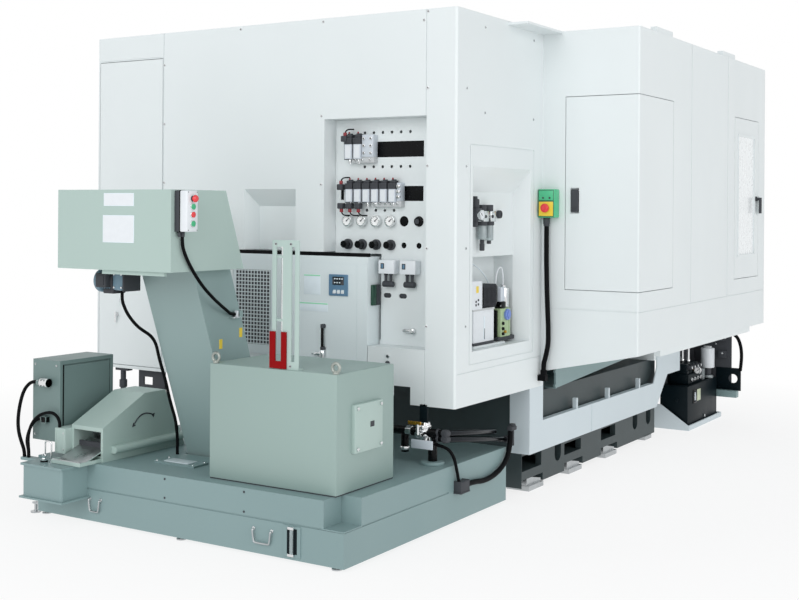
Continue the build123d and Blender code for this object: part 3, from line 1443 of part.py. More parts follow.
def build_parts():
    """Every node of the machine by name."""
    parts = {
        "bed_casting": bed_casting(),
        "levelling_blocks": levelling_blocks(),
        "side_trim": side_trim(),
        "chip_chute": chip_chute(),
        "main_enclosure": main_enclosure(),
        "magazine_enclosure": magazine_enclosure(),
        "panel_screws": panel_screws(),
        "maintenance_door": maintenance_door(),
        "maintenance_latch": maintenance_latch(),
        "magazine_door": magazine_door(),
        "door_window": door_window(),
        "magazine_door_lever": magazine_door_lever(),
        "cabinet_door": cabinet_door(),
        "cabinet_latch": cabinet_latch(),
        "operator_door": operator_door(),
        "operator_console": operator_console(),
        "pneumatic_plate": pneumatic_plate(),
        "valve_banks": valve_banks(),
        "regulator_gauges": regulator_gauges(),
        "chiller_cabinet": chiller_cabinet(),
        "chiller_fan": chiller_fan(),
        "air_service_unit": air_service_unit(),
        "lubricator": lubricator(),
        "estop_box": estop_box(),
        "estop_button": estop_button(),
        "estop_conduit": estop_conduit(),
        "coolant_tank": coolant_tank(),
        "tank_feet": tank_feet(),
        "pump_tower": pump_tower(),
        "level_post": level_post(),
        "level_rod": level_rod(),
        "coolant_valves": coolant_valves(),
        "coolant_hose": coolant_hose(),
        "conveyor_casing": conveyor_casing(),
        "conveyor_head": conveyor_head(),
        "conveyor_belt": conveyor_belt(),
        "drive_sprockets": drive_sprockets(),
        "gear_motor": gear_motor(),
        "pendant_box": pendant_box(),
        "pendant_mushroom": pendant_mushroom(),
        "pendant_cable": pendant_cable(),
        "motor_cable": motor_cable(),
        "separator_cover": separator_cover(),
        "separator_drum": separator_drum(),
        "separator_box": separator_box(),
        "junction_box": junction_box(),
        "conduit_upper": conduit_upper(),
        "conduit_lower": conduit_lower(),
        "hydraulic_unit": hydraulic_unit(),
        "column": column(),
        "spindle_head": spindle_head(),
        "spindle": spindle(),
        "table_saddle": table_saddle(),
        "pallet": pallet(),
        "magazine_stand": magazine_stand(),
        "magazine_wheel": magazine_wheel(),
        "changer_arm": changer_arm(),
    }
    for number, z in enumerate(button_zs, start=1):
        parts[f"pendant_button_{number}"] = pendant_button(z)
    return parts


def main():
    """Write each node, moved so that the foundation centre is the origin."""
    os.makedirs("parts", exist_ok=True)
    bolts = bolt_points()
    middle_x = sum(x for x, y in bolts) / len(bolts)
    middle_y = sum(y for x, y in bolts) / len(bolts)
    for name, shape in build_parts().items():
        export_step(Pos(-middle_x, -middle_y, 0) * shape, f"parts/{name}.step")
    print("origin at", middle_x, middle_y)


if __name__ == "__main__":
    main()
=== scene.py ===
"""Looks of a horizontal machining centre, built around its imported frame."""

import logging
from dataclasses import dataclass
from enum import Enum
from math import radians
from typing import Callable, Iterable, Sequence

import bmesh
import bpy
from mathutils import Matrix, Vector


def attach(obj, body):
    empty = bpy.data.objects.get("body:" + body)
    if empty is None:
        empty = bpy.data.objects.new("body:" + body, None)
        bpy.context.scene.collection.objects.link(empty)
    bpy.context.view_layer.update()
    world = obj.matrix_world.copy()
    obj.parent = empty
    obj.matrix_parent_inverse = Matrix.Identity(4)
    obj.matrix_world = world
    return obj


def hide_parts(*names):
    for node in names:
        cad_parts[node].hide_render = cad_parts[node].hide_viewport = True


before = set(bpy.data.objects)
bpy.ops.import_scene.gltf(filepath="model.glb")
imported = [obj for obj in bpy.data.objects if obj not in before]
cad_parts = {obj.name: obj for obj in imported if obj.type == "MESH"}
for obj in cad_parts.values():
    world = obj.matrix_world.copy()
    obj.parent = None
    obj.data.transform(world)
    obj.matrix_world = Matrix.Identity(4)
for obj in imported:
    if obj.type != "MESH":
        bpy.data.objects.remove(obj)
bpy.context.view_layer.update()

log = logging.getLogger("machining_centre")
MACHINE = "machine"

Point = tuple[float, float, float]
FaceTest = Callable[[Vector, Vector], bool]
Socket = bpy.types.NodeSocket

# Lengths below are millimetres from the rear right corner of the main enclosure, on the floor.
ORIGIN_X = -1126.0
ORIGIN_Y = 1730.0
MM = 0.001
FACING = 0.9          # cosine up to which a face still looks a way
OUTER_SLACK = 2e-5    # metres by which a face may lie behind the outermost one
BEVEL_ANGLE = 50.0    # degrees from which an edge is rounded
SMOOTH_ANGLE = 38.0   # degrees up to which faces shade as one
NOISE_LOW, NOISE_HIGH = 0.3, 0.7


def at(x: float, y: float, z: float) -> Vector:
    """Turn a place in the machine's millimetres into metres of the frame.

    Args:
        x: Millimetres from the right face of the main enclosure.
        y: Millimetres from its rear face.
        z: Height over the floor.

    Returns:
        The same place in the frame.
    """
    return Vector(((x - ORIGIN_X) * MM, (y - ORIGIN_Y) * MM, z * MM))


class Side(Enum):
    """Direction that a face looks to."""

    REAR = (0.0, -1.0, 0.0)
    FRONT = (0.0, 1.0, 0.0)
    RIGHT = (1.0, 0.0, 0.0)
    LEFT = (-1.0, 0.0, 0.0)
    TOP = (0.0, 0.0, 1.0)
    FOOT = (0.0, 0.0, -1.0)

    @property
    def way(self) -> Vector:
        """The direction as a vector."""
        return Vector(self.value)


# Finishes
def to_linear(value: float) -> float:
    """Linear value of one 0-255 display value."""
    share = value / 255.0
    return share / 12.92 if share <= 0.04045 else ((share + 0.055) / 1.055) ** 2.4


def tone(red: float, green: float, blue: float) -> tuple[float, float, float, float]:
    """Linear colour with alpha from 0-255 display values."""
    return (to_linear(red), to_linear(green), to_linear(blue), 1.0)


def add_node(tree: bpy.types.NodeTree, kind: str, **settings: object) -> bpy.types.Node:
    """Add a shader node to a tree and set its plain properties."""
    made = tree.nodes.new(kind if kind.startswith("Node") else "ShaderNode" + kind)
    for key, value in settings.items():
        setattr(made, key, value)
    return made


class Effect:
    """A shader node group that several finishes share."""

    INPUTS = {"Color": (0.8, 0.8, 0.8, 1.0), "Roughness": 0.4, "Grain": 0.2, "Spread": 0.03}
    OUTPUTS = {"Color": "NodeSocketColor", "Roughness": "NodeSocketFloat", "Normal": "NodeSocketVector"}

    def __init__(self, name: str) -> None:
        """Open the group with its sockets."""
        self.tree = bpy.data.node_groups.new(name, "ShaderNodeTree")
        for key, value in self.INPUTS.items():
            kind = "NodeSocketColor" if isinstance(value, tuple) else "NodeSocketFloat"
            self.tree.interface.new_socket(key, in_out="INPUT", socket_type=kind).default_value = value
        for key, kind in self.OUTPUTS.items():
            self.tree.interface.new_socket(key, in_out="OUTPUT", socket_type=kind)
        self.given = add_node(self.tree, "NodeGroupInput").outputs
        self.out = add_node(self.tree, "NodeGroupOutput").inputs

    def link(self, start: Socket, end: Socket) -> None:
        """Join two sockets."""
        self.tree.links.new(start, end)

    def noise(self, scale: float, detail: float, stretch: Point = (1.0, 1.0, 1.0)) -> Socket:
        """Noise on object coordinates.

        Args:
            scale: Number of grains in a metre.
            detail: Detail of the noise.
            stretch: Scale of the coordinates on each axis.

        Returns:
            The value socket of the noise.
        """
        turn = add_node(self.tree, "Mapping")
        turn.inputs["Scale"].default_value = stretch
        grain = add_node(self.tree, "TexNoise")
        grain.inputs["Scale"].default_value = scale
        grain.inputs["Detail"].default_value = detail
        self.link(add_node(self.tree, "TexCoord").outputs["Object"], turn.inputs["Vector"])
        self.link(turn.outputs["Vector"], grain.inputs["Vector"])
        return grain.outputs["Fac"]

    def span(self, value: Socket, low: float, high: float) -> Socket:
        """Map a noise value to the range from low to high."""
        spread = add_node(self.tree, "MapRange")
        bounds = {"From Min": NOISE_LOW, "From Max": NOISE_HIGH, "To Min": low, "To Max": high}
        for key, number in bounds.items():
            spread.inputs[key].default_value = number
        self.link(value, spread.inputs["Value"])
        return spread.outputs["Result"]

    def math(self, operation: str, first: Socket | float, second: Socket) -> Socket:
        """Result of an operation on two values, the first of which may be a number."""
        made = add_node(self.tree, "Math", operation=operation)
        if isinstance(first, float):
            made.inputs[0].default_value = first
        else:
            self.link(first, made.inputs[0])
        self.link(second, made.inputs[1])
        return made.outputs["Value"]

    def finish(self, shade: Socket, gloss: Socket, height: Socket, depth: float) -> "Effect":
        """Link what the group puts out.

        Args:
            shade: Factor of the given colour.
            gloss: Factor of the given roughness.
            height: Height of the bump.
            depth: Depth of the bump in metres.

        Returns:
            The effect.
        """
        scale = add_node(self.tree, "VectorMath", operation="SCALE")
        self.link(self.given["Color"], scale.inputs[0])
        self.link(shade, scale.inputs["Scale"])
        self.link(scale.outputs["Vector"], self.out["Color"])
        self.link(self.math("MULTIPLY", self.given["Roughness"], gloss), self.out["Roughness"])
        bump = add_node(self.tree, "Bump")
        bump.inputs["Distance"].default_value = depth
        self.link(height, bump.inputs["Height"])
        self.link(self.given["Grain"], bump.inputs["Strength"])
        self.link(bump.outputs["Normal"], self.out["Normal"])
        return self


def sheet_paint() -> Effect:
    """Sprayed sheet metal: cloudy tone, orange-peel skin and faint wipe marks."""
    skin = Effect("sheet_paint")
    cloud = skin.span(skin.noise(1.3, 3.0), 0.0, 1.0)
    skin.link(skin.math("SUBTRACT", 1.0, skin.given["Spread"]), cloud.node.inputs["To Min"])
    wipe = skin.noise(3.0, 4.0, (1.0, 1.0, 0.25))
    return skin.finish(cloud, skin.span(wipe, 0.85, 1.15), skin.noise(260.0, 2.0), 0.0006)


def cast_skin() -> Effect:
    """Painted casting: sand-rough skin with broad waves and darker hollows."""
    skin = Effect("cast_skin")
    wave = skin.noise(9.0, 4.0)
    sand = skin.noise(420.0, 3.0)
    height = skin.math("ADD", skin.math("MULTIPLY", wave, skin.given["Spread"]), sand)
    return skin.finish(skin.span(wave, 0.9, 1.04), skin.span(sand, 0.85, 1.1), height, 0.0012)


def drawn_metal() -> Effect:
    """Bare metal with fine drawn lines and soft smudges."""
    skin = Effect("drawn_metal")
    smudge = skin.noise(16.0, 4.0)
    lines = skin.noise(60.0, 4.0, (1.0, 1.0, 26.0))
    return skin.finish(skin.span(smudge, 0.86, 1.04), skin.span(smudge, 0.75, 1.25), lines, 0.0002)


def moulded_skin() -> Effect:
    """Moulded plastic or rubber with a fine even texture."""
    skin = Effect("moulded_skin")
    haze = skin.noise(30.0, 3.0)
    return skin.finish(skin.span(haze, 0.985, 1.015), skin.span(haze, 0.88, 1.12),
        skin.noise(900.0, 1.0), 0.0003)


class Skin(Enum):
    """Surface effect of a finish."""

    PAINT = "sheet_paint"
    CAST = "cast_skin"
    METAL = "drawn_metal"
    MOULDED = "moulded_skin"


SKINS = {
    Skin.PAINT: sheet_paint, Skin.CAST: cast_skin,
    Skin.METAL: drawn_metal, Skin.MOULDED: moulded_skin,
}
MADE_SKINS: dict[Skin, Effect] = {}


@dataclass(frozen=True)
class Finish:
    """One finish of the machine: its colour, gloss and surface effect."""

    name: str
    color: tuple[float, float, float, float]
    roughness: float
    skin: Skin = Skin.PAINT
    metallic: float = 0.0
    grain: float = 0.15
    spread: float = 0.03
    coat: float = 0.0
    clear: float = 0.0
    slot: str = ""
    shine: float = 0.5

    def material(self) -> bpy.types.Material:
        """The Blender material of this finish, made on first use."""
        known = bpy.data.materials.get(self.name)
        if known is not None:
            return known
        if self.skin not in MADE_SKINS:
            MADE_SKINS[self.skin] = SKINS[self.skin]()
        made = bpy.data.materials.new(self.name)
        made.use_nodes = True
        tree = made.node_tree
        shader = tree.nodes["Principled BSDF"]
        effect = add_node(tree, "Group", node_tree=MADE_SKINS[self.skin].tree)
        for key, value in (("Color", self.color), ("Roughness", self.roughness), ("Grain", self.grain),
                           ("Spread", self.spread)):
            effect.inputs[key].default_value = value
        for source, target in (("Color", "Base Color"), ("Roughness", "Roughness"), ("Normal", "Normal")):
            tree.links.new(effect.outputs[source], shader.inputs[target])
        shader.inputs["Metallic"].default_value = self.metallic
        shader.inputs["Coat Weight"].default_value = self.coat
        shader.inputs["Transmission Weight"].default_value = self.clear
        shader.inputs["Specular IOR Level"].default_value = self.shine
        return made


WHITE = Finish("enclosure_paint", tone(226, 232, 233), 0.42, slot="enclosure_white")
# Enclosure white greyed as painted shade for the side trim under the overhang of the magazine enclosure;
# the console, trays, splash plate and hatch plate share this greyed white.
SHADE_GREYED_WHITE = Finish("shade_greyed_white", tone(206, 217, 222), 0.42, slot="trim_white")
CHILLER = Finish("chiller_paint", tone(222, 231, 233), 0.38, slot="enclosure_white")
GREY_GREEN = Finish("grey_green_paint", tone(174, 194, 188), 0.45, slot="grey_green")
TOWER_PAINT = Finish("tower_paint", tone(150, 171, 166), 0.45, slot="grey_green")
RISER_PAINT = Finish("riser_paint", tone(144, 166, 165), 0.45, slot="grey_green")
BOX_PAINT = Finish("box_paint", tone(113, 134, 132), 0.45, slot="grey_green")
TANK_PAINT = Finish("tank_paint", tone(131, 155, 156), 0.45, slot="tank_grey")
# Dark grey of the bed casting, darkened further as painted shade for the dark space under the enclosure.
BED_PAINT_AND_SHADE = Finish("bed_paint_and_shade", tone(50, 62, 64), 0.5, Skin.CAST, grain=0.3, spread=0.6, slot="bed_grey")
MOTOR_PAINT = Finish("motor_paint", tone(104, 132, 148), 0.4, Skin.CAST, grain=0.15, spread=0.3,
    slot="dark_metal")
UNIT_DARK = Finish("unit_dark_paint", tone(10, 22, 27), 0.42, slot="dark_metal", shine=0.12)
IRON = Finish("machined_casting", tone(150, 158, 160), 0.38, Skin.CAST, metallic=0.35, grain=0.2,
    spread=0.4, slot="iron")
EYE_STEEL = Finish("forged_steel", tone(158, 164, 158), 0.4, Skin.METAL, metallic=0.6, grain=0.3,
    slot="nickel")
PIPE_STEEL = Finish("dark_pipe_steel", tone(26, 30, 36), 0.16, Skin.METAL, metallic=0.8, grain=0.2,
    slot="black_plastic")
STEEL = Finish("bare_steel", tone(186, 190, 192), 0.32, Skin.METAL, metallic=0.95, grain=0.35,
    slot="steel")
NICKEL = Finish("nickel_plate", tone(226, 228, 229), 0.16, Skin.METAL, metallic=1.0, grain=0.1,
    slot="nickel")
BRASS = Finish("brass", tone(214, 160, 62), 0.3, Skin.METAL, metallic=0.9, grain=0.15, slot="nickel")
BLACK = Finish("black_plastic", tone(8, 9, 11), 0.45, Skin.MOULDED, slot="black_plastic", shine=0.06)
GLOSS_BLACK = Finish("black_enamel", tone(8, 9, 11), 0.26, Skin.MOULDED, grain=0.05,
    slot="black_plastic", shine=0.14)
RUBBER = Finish("black_rubber", tone(10, 11, 13), 0.55, Skin.MOULDED, grain=0.3, slot="rubber_black",
    shine=0.07)
WHITE_PLASTIC = Finish("white_plastic", tone(226, 230, 234), 0.32, Skin.MOULDED, grain=0.05,
    slot="pendant_white")
DIAL_WHITE = Finish("dial_white", tone(252, 252, 252), 0.4, Skin.MOULDED, grain=0.02,
    slot="pendant_white")
GREY_PLASTIC = Finish("grey_plastic", tone(158, 166, 172), 0.4, Skin.MOULDED, slot="grey_plastic")
PALE_PLASTIC = Finish("pale_plastic", tone(205, 212, 220), 0.35, Skin.MOULDED, slot="grey_plastic")
RED = Finish("red_plastic", tone(190, 8, 18), 0.36, Skin.MOULDED, grain=0.04, slot="red_plastic",
    shine=0.12)
FORK_RED = Finish("red_paint", tone(140, 10, 14), 0.45, slot="red_plastic", shine=0.08)
DARK_RED = Finish("dark_red_plastic", tone(140, 32, 42), 0.35, Skin.MOULDED, slot="red_plastic")
GREEN = Finish("green_plastic", tone(80, 150, 134), 0.34, Skin.MOULDED, grain=0.06, slot="green_plastic")
DARK_GREEN = Finish("dark_green_plastic", tone(22, 66, 50), 0.4, Skin.MOULDED, slot="green_plastic")
BUTTON_GREEN = Finish("button_green", tone(64, 176, 124), 0.3, Skin.MOULDED, grain=0.04,
    slot="green_plastic")
YELLOW = Finish("yellow_plate", tone(236, 206, 62), 0.4, Skin.MOULDED, grain=0.04, slot="pendant_white")
PALE_GREEN = Finish("pale_green_paint", tone(170, 192, 150), 0.42, slot="grey_green")
CONTROL_BLUE = Finish("control_blue", tone(92, 128, 156), 0.34, Skin.MOULDED, slot="grey_plastic")
PUMP_BLUE = Finish("pump_blue", tone(116, 140, 208), 0.35, Skin.MOULDED, slot="grey_plastic")
PALE_LIME = Finish("pale_lime_paint", tone(196, 205, 176), 0.4, slot="grey_green")
PALE_STRIP = Finish("pale_strip", tone(226, 236, 242), 0.4, Skin.MOULDED, grain=0.03,
    slot="pendant_white")
MINT_STRIP = Finish("mint_strip", tone(150, 222, 180), 0.4, Skin.MOULDED, grain=0.03,
    slot="green_plastic")
SCREEN = Finish("dark_screen", tone(24, 30, 38), 0.12, Skin.MOULDED, grain=0.0, coat=0.5,
    slot="black_plastic")
PANE = Finish("milky_pane", tone(236, 240, 241), 0.28, Skin.MOULDED, grain=0.02, coat=0.4, slot="pane")
CLEAR = Finish("clear_bowl", tone(206, 218, 220), 0.12, Skin.MOULDED, grain=0.0, clear=0.6, slot="pane")

# CAD nodes that stay in sight, by their finish
FINISH_NODES: dict[Finish, str] = {
    BED_PAINT_AND_SHADE: "bed_casting",
    STEEL: "levelling_blocks tank_feet conveyor_belt drive_sprockets separator_drum spindle "
           "magazine_wheel changer_arm",
    SHADE_GREYED_WHITE: "side_trim",
    TANK_PAINT: "chip_chute coolant_tank separator_box",
    WHITE: "main_enclosure magazine_enclosure maintenance_door magazine_door cabinet_door "
           "operator_door pneumatic_plate",
    BLACK: "maintenance_latch magazine_door_lever chiller_fan",
    PANE: "door_window",
    NICKEL: "cabinet_latch level_rod",
    CHILLER: "chiller_cabinet",
    RUBBER: "estop_conduit motor_cable",
    RISER_PAINT: "conveyor_casing",
    GREY_GREEN: "conveyor_head separator_cover",
    RED: "pendant_mushroom",
    BOX_PAINT: "junction_box",
    IRON: "column spindle_head table_saddle pallet magazine_stand",
}


# The bench
def only(obj: bpy.types.Object) -> None:
    """Select one object alone and make it active."""
    bpy.ops.object.select_all(action="DESELECT")
    obj.select_set(True)
    bpy.context.view_layer.objects.active = obj


class Work:
    """One mesh on the bench, shaped with the moves that are made by hand."""

    def __init__(self, obj: bpy.types.Object, finish: Finish) -> None:
        """Take a new primitive, settle its place in its mesh and give it its finish."""
        self.obj = obj
        only(obj)
        bpy.ops.object.transform_apply(location=True, rotation=True, scale=True)
        obj.data.materials.clear()
        obj.data.materials.append(finish.material())

    @classmethod
    def block(cls, low: Point, high: Point, finish: Finish, soft: float = 0.0) -> "Work":
        """Cube between two corners.

        Args:
            low: Lowest corner in the machine's millimetres.
            high: Highest corner.
            finish: Finish of the block.
            soft: Radius of its edges in millimetres.

        Returns:
            The work.
        """
        first, last = at(*low), at(*high)
        bpy.ops.mesh.primitive_cube_add(size=1, location=(first + last) / 2)
        made = bpy.context.object
        made.scale = last - first
        work = cls(made, finish)
        return work.soften(soft) if soft else work

    @classmethod
    def bar(cls, start: Point, end: Point, radius: float, finish: Finish, sides: int = 28,
            soft: float = 0.0) -> "Work":
        """Cylinder between two points.

        Args:
            start: Middle of its first face in the machine's millimetres.
            end: Middle of its last face.
            radius: Radius in millimetres.
            finish: Finish of the bar.
            sides: Number of its sides.
            soft: Radius of its edges in millimetres.

        Returns:
            The work.
        """
        first, last = at(*start), at(*end)
        way = last - first
        bpy.ops.mesh.primitive_cylinder_add(
            vertices=sides, radius=radius * MM, depth=way.length, location=(first + last) / 2)
        made = bpy.context.object
        made.rotation_mode = "QUATERNION"
        made.rotation_quaternion = way.to_track_quat("Z", "Y")
        work = cls(made, finish)
        return work.soften(soft, 2) if soft else work

    @classmethod
    def ring(cls, middle: Point, way: Side, radius: float, wire: float, finish: Finish) -> "Work":
        """Torus that looks a way.

        Args:
            middle: Its middle in the machine's millimetres.
            way: Direction of its axis.
            radius: Radius of its centre line in millimetres.
            wire: Radius of its section in millimetres.
            finish: Finish of the ring.

        Returns:
            The work.
        """
        bpy.ops.mesh.primitive_torus_add(
            major_radius=radius * MM, minor_radius=wire * MM, location=at(*middle),
            major_segments=36, minor_segments=12)
        made = bpy.context.object
        made.rotation_mode = "QUATERNION"
        made.rotation_quaternion = way.way.to_track_quat("Z", "Y")
        return cls(made, finish)

    def choose(self, test: FaceTest) -> None:
        """Enter edit mode with the faces selected for which the test of middle and normal is true."""
        only(self.obj)
        bpy.ops.object.mode_set(mode="EDIT")
        bpy.ops.mesh.select_mode(type="FACE")
        bpy.ops.mesh.select_all(action="DESELECT")
        mesh = bmesh.from_edit_mesh(self.obj.data)
        for face in mesh.faces:
            face.select_set(test(face.calc_center_median(), face.normal))
        bmesh.update_edit_mesh(self.obj.data)

    def done(self) -> "Work":
        """Leave edit mode."""
        bpy.ops.object.mode_set(mode="OBJECT")
        return self

    def inset(self, side: Side, rim: float, depth: float, finish: Finish | None = None) -> "Work":
        """Inset the faces on one side and sink or raise them.

        Args:
            side: Side of the faces.
            rim: Width of the rim in millimetres.
            depth: Millimetres that the inner face rises over the rim.
            finish: Finish of the inner face.

        Returns:
            The work.
        """
        self.choose(self.outermost(side))
        bpy.ops.mesh.inset(thickness=rim * MM, depth=0.0, use_even_offset=True)
        if depth:
            bpy.ops.mesh.extrude_region_move(TRANSFORM_OT_translate={"value": side.way * depth * MM})
        if finish is not None:
            self.paint_selected(finish)
        return self.done()

    def outermost(self, side: Side) -> FaceTest:
        """A test for the faces that lie furthest out on one side."""
        way = side.way
        reach = max((v.co.dot(way) for v in self.obj.data.vertices), default=0.0)
        return lambda middle, normal: normal.dot(way) > FACING and middle.dot(way) > reach - OUTER_SLACK

    def paint_selected(self, finish: Finish) -> None:
        """Give the selected faces their own finish."""
        slots = self.obj.data.materials
        material = finish.material()
        if material.name not in slots:
            slots.append(material)
        self.obj.active_material_index = slots.find(material.name)
        bpy.ops.object.material_slot_assign()

    def step(self, side: Side, rim: float, rise: float, finish: Finish | None = None,
            shrink: float = 1.0) -> "Work":
        """Inset the outer face, extrude it and scale its end, as for a knob or a boss.

        Args:
            side: Side of the face.
            rim: Width left round the step in millimetres.
            rise: Height of the step in millimetres.
            finish: Finish of the step's end.
            shrink: Scale of the step's end.

        Returns:
            The work.
        """
        self.choose(self.outermost(side))
        if rim:
            bpy.ops.mesh.inset(thickness=rim * MM, depth=0.0)
        bpy.ops.mesh.extrude_region_move(TRANSFORM_OT_translate={"value": side.way * rise * MM})
        if shrink != 1.0:
            bpy.ops.transform.resize(value=(shrink, shrink, shrink))
        if finish is not None:
            self.paint_selected(finish)
        return self.done()

    def soften(self, width: float, segments: int = 2) -> "Work":
        """Round the sharp edges with a bevel of that width in millimetres."""
        only(self.obj)
        bpy.ops.object.modifier_add(type="BEVEL")
        bevel = self.obj.modifiers[-1]
        bevel.width = width * MM
        bevel.segments = segments
        bevel.limit_method = "ANGLE"
        bevel.angle_limit = radians(BEVEL_ANGLE)
        bpy.ops.object.modifier_apply(modifier=bevel.name)
        return self

    def cut(self, tool: "Work") -> "Work":
        """Cut another work out of this one, which uses that work up."""
        only(self.obj)
        bpy.ops.object.modifier_add(type="BOOLEAN")
        knife = self.obj.modifiers[-1]
        knife.operation = "DIFFERENCE"
        knife.object = tool.obj
        bpy.ops.object.modifier_apply(modifier=knife.name)
        bpy.data.objects.remove(tool.obj)
        return self

    def copy(self, x: float = 0.0, y: float = 0.0, z: float = 0.0) -> "Work":
        """A copy with its own mesh, moved by millimetres."""
        twin = self.obj.copy()
        twin.data = self.obj.data.copy()
        bpy.context.scene.collection.objects.link(twin)
        twin.data.transform(Matrix.Translation(Vector((x, y, z)) * MM))
        made = Work.__new__(Work)
        made.obj = twin
        return made

    def turned(self, angle: float, axis: Side, centre: Point) -> "Work":
        """Turn the mesh about an axis through a place of the machine."""
        middle = at(*centre)
        spin = Matrix.Rotation(radians(angle), 4, axis.way)
        self.obj.data.transform(Matrix.Translation(middle) @ spin @ Matrix.Translation(-middle))
        return self


def wire_piece(points: Sequence[Point], radius: float, finish: Finish, smooth: bool = True) -> Work:
    """Round wire or pipe along points, as a mesh.

    Args:
        points: Route in the machine's millimetres.
        radius: Radius in millimetres.
        finish: Finish of the wire.
        smooth: True for one smooth curve, false for straight runs with rounded corners.

    Returns:
        The work.
    """
    curve = bpy.data.curves.new("wire", "CURVE")
    curve.dimensions = "3D"
    curve.bevel_depth = radius * MM
    curve.bevel_resolution = 3
    curve.resolution_u = 8
    curve.use_fill_caps = True
    line = curve.splines.new("NURBS" if smooth else "POLY")
    line.points.add(len(points) - 1)
    for point, place in zip(line.points, points):
        point.co = (*at(*place), 1.0)
    if smooth:
        line.order_u = 3
        line.use_endpoint_u = True
    made = bpy.data.objects.new("wire", curve)
    bpy.context.scene.collection.objects.link(made)
    only(made)
    bpy.ops.object.convert(target="MESH")
    return Work(bpy.context.object, finish)


def gather(name: str, works: Iterable[Work], slot: str, *nodes: str, body: str = MACHINE) -> None:
    """Join works to one piece, shade it, and let it ride.

    Args:
        name: Name of the piece.
        works: What it is joined from.
        slot: Material slot of the record; not used.
        nodes: CAD nodes that it stands for.
        body: Body it rides on.
    """
    parts = [work.obj for work in works]
    bpy.ops.object.select_all(action="DESELECT")
    for part in parts:
        part.select_set(True)
    bpy.context.view_layer.objects.active = parts[0]
    if len(parts) > 1:
        bpy.ops.object.join()
    piece = bpy.context.view_layer.objects.active
    piece.name = name
    piece.data.name = name
    only(piece)
    bpy.ops.object.shade_smooth_by_angle(angle=radians(SMOOTH_ANGLE))
    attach(piece, body)
    if nodes:
        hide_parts(*nodes)
    log.info("%s: %d faces", name, len(piece.data.polygons))


block, bar, ring = Work.block, Work.bar, Work.ring
REAR, FRONT, RIGHT, LEFT, TOP, FOOT = Side


# Rear services
@dataclass
class PanelScrews:
    """Domed socket screws of the enclosure panels."""

    head_r: float = 8.5
    rise: float = 3.0
    rear_places: Sequence[tuple[float, float]] = (
        (-2133, 2645), (-2133, 2271), (-2133, 1897), (-184, 2836), (-184, 2412),
        (-184, 1980), (-184, 1523), (-184, 1091), (-1514, 2830), (-896, 2830),
        (-210, 2789), (-905, 2280), (-905, 1880))
    side_places: Sequence[tuple[float, float]] = (
        (110, 2411), (110, 1979), (110, 1524), (110, 1092), (324, 2775), (324, 2289),
        (955, 2775), (955, 2292))

    def head(self, middle: Point, side: Side) -> Work:
        """One screw head that looks to a side.

        Args:
            middle: Middle of its seat.
            side: Side that it looks to.

        Returns:
            The work.
        """
        way = side.way
        end = tuple(Vector(middle) + way * self.rise)
        screw = bar(middle, end, self.head_r, NICKEL, 16).step(side, 2.2, 1)
        return screw.step(side, 2.2, -2.2, BLACK)

    def build(self) -> None:
        """Model one head for each face and copy it."""
        first_x, first_z = self.rear_places[0]
        rear = self.head((first_x, 0, first_z), REAR)
        works = [rear] + [rear.copy(x - first_x, 0, z - first_z) for x, z in self.rear_places[1:]]
        first_y, first_z = self.side_places[0]
        right = self.head((0, first_y, first_z), RIGHT)
        works += [right] + [right.copy(0, y - first_y, z - first_z) for y, z in self.side_places[1:]]
        gather("panel_screw_heads", works, "nickel", "panel_screws")


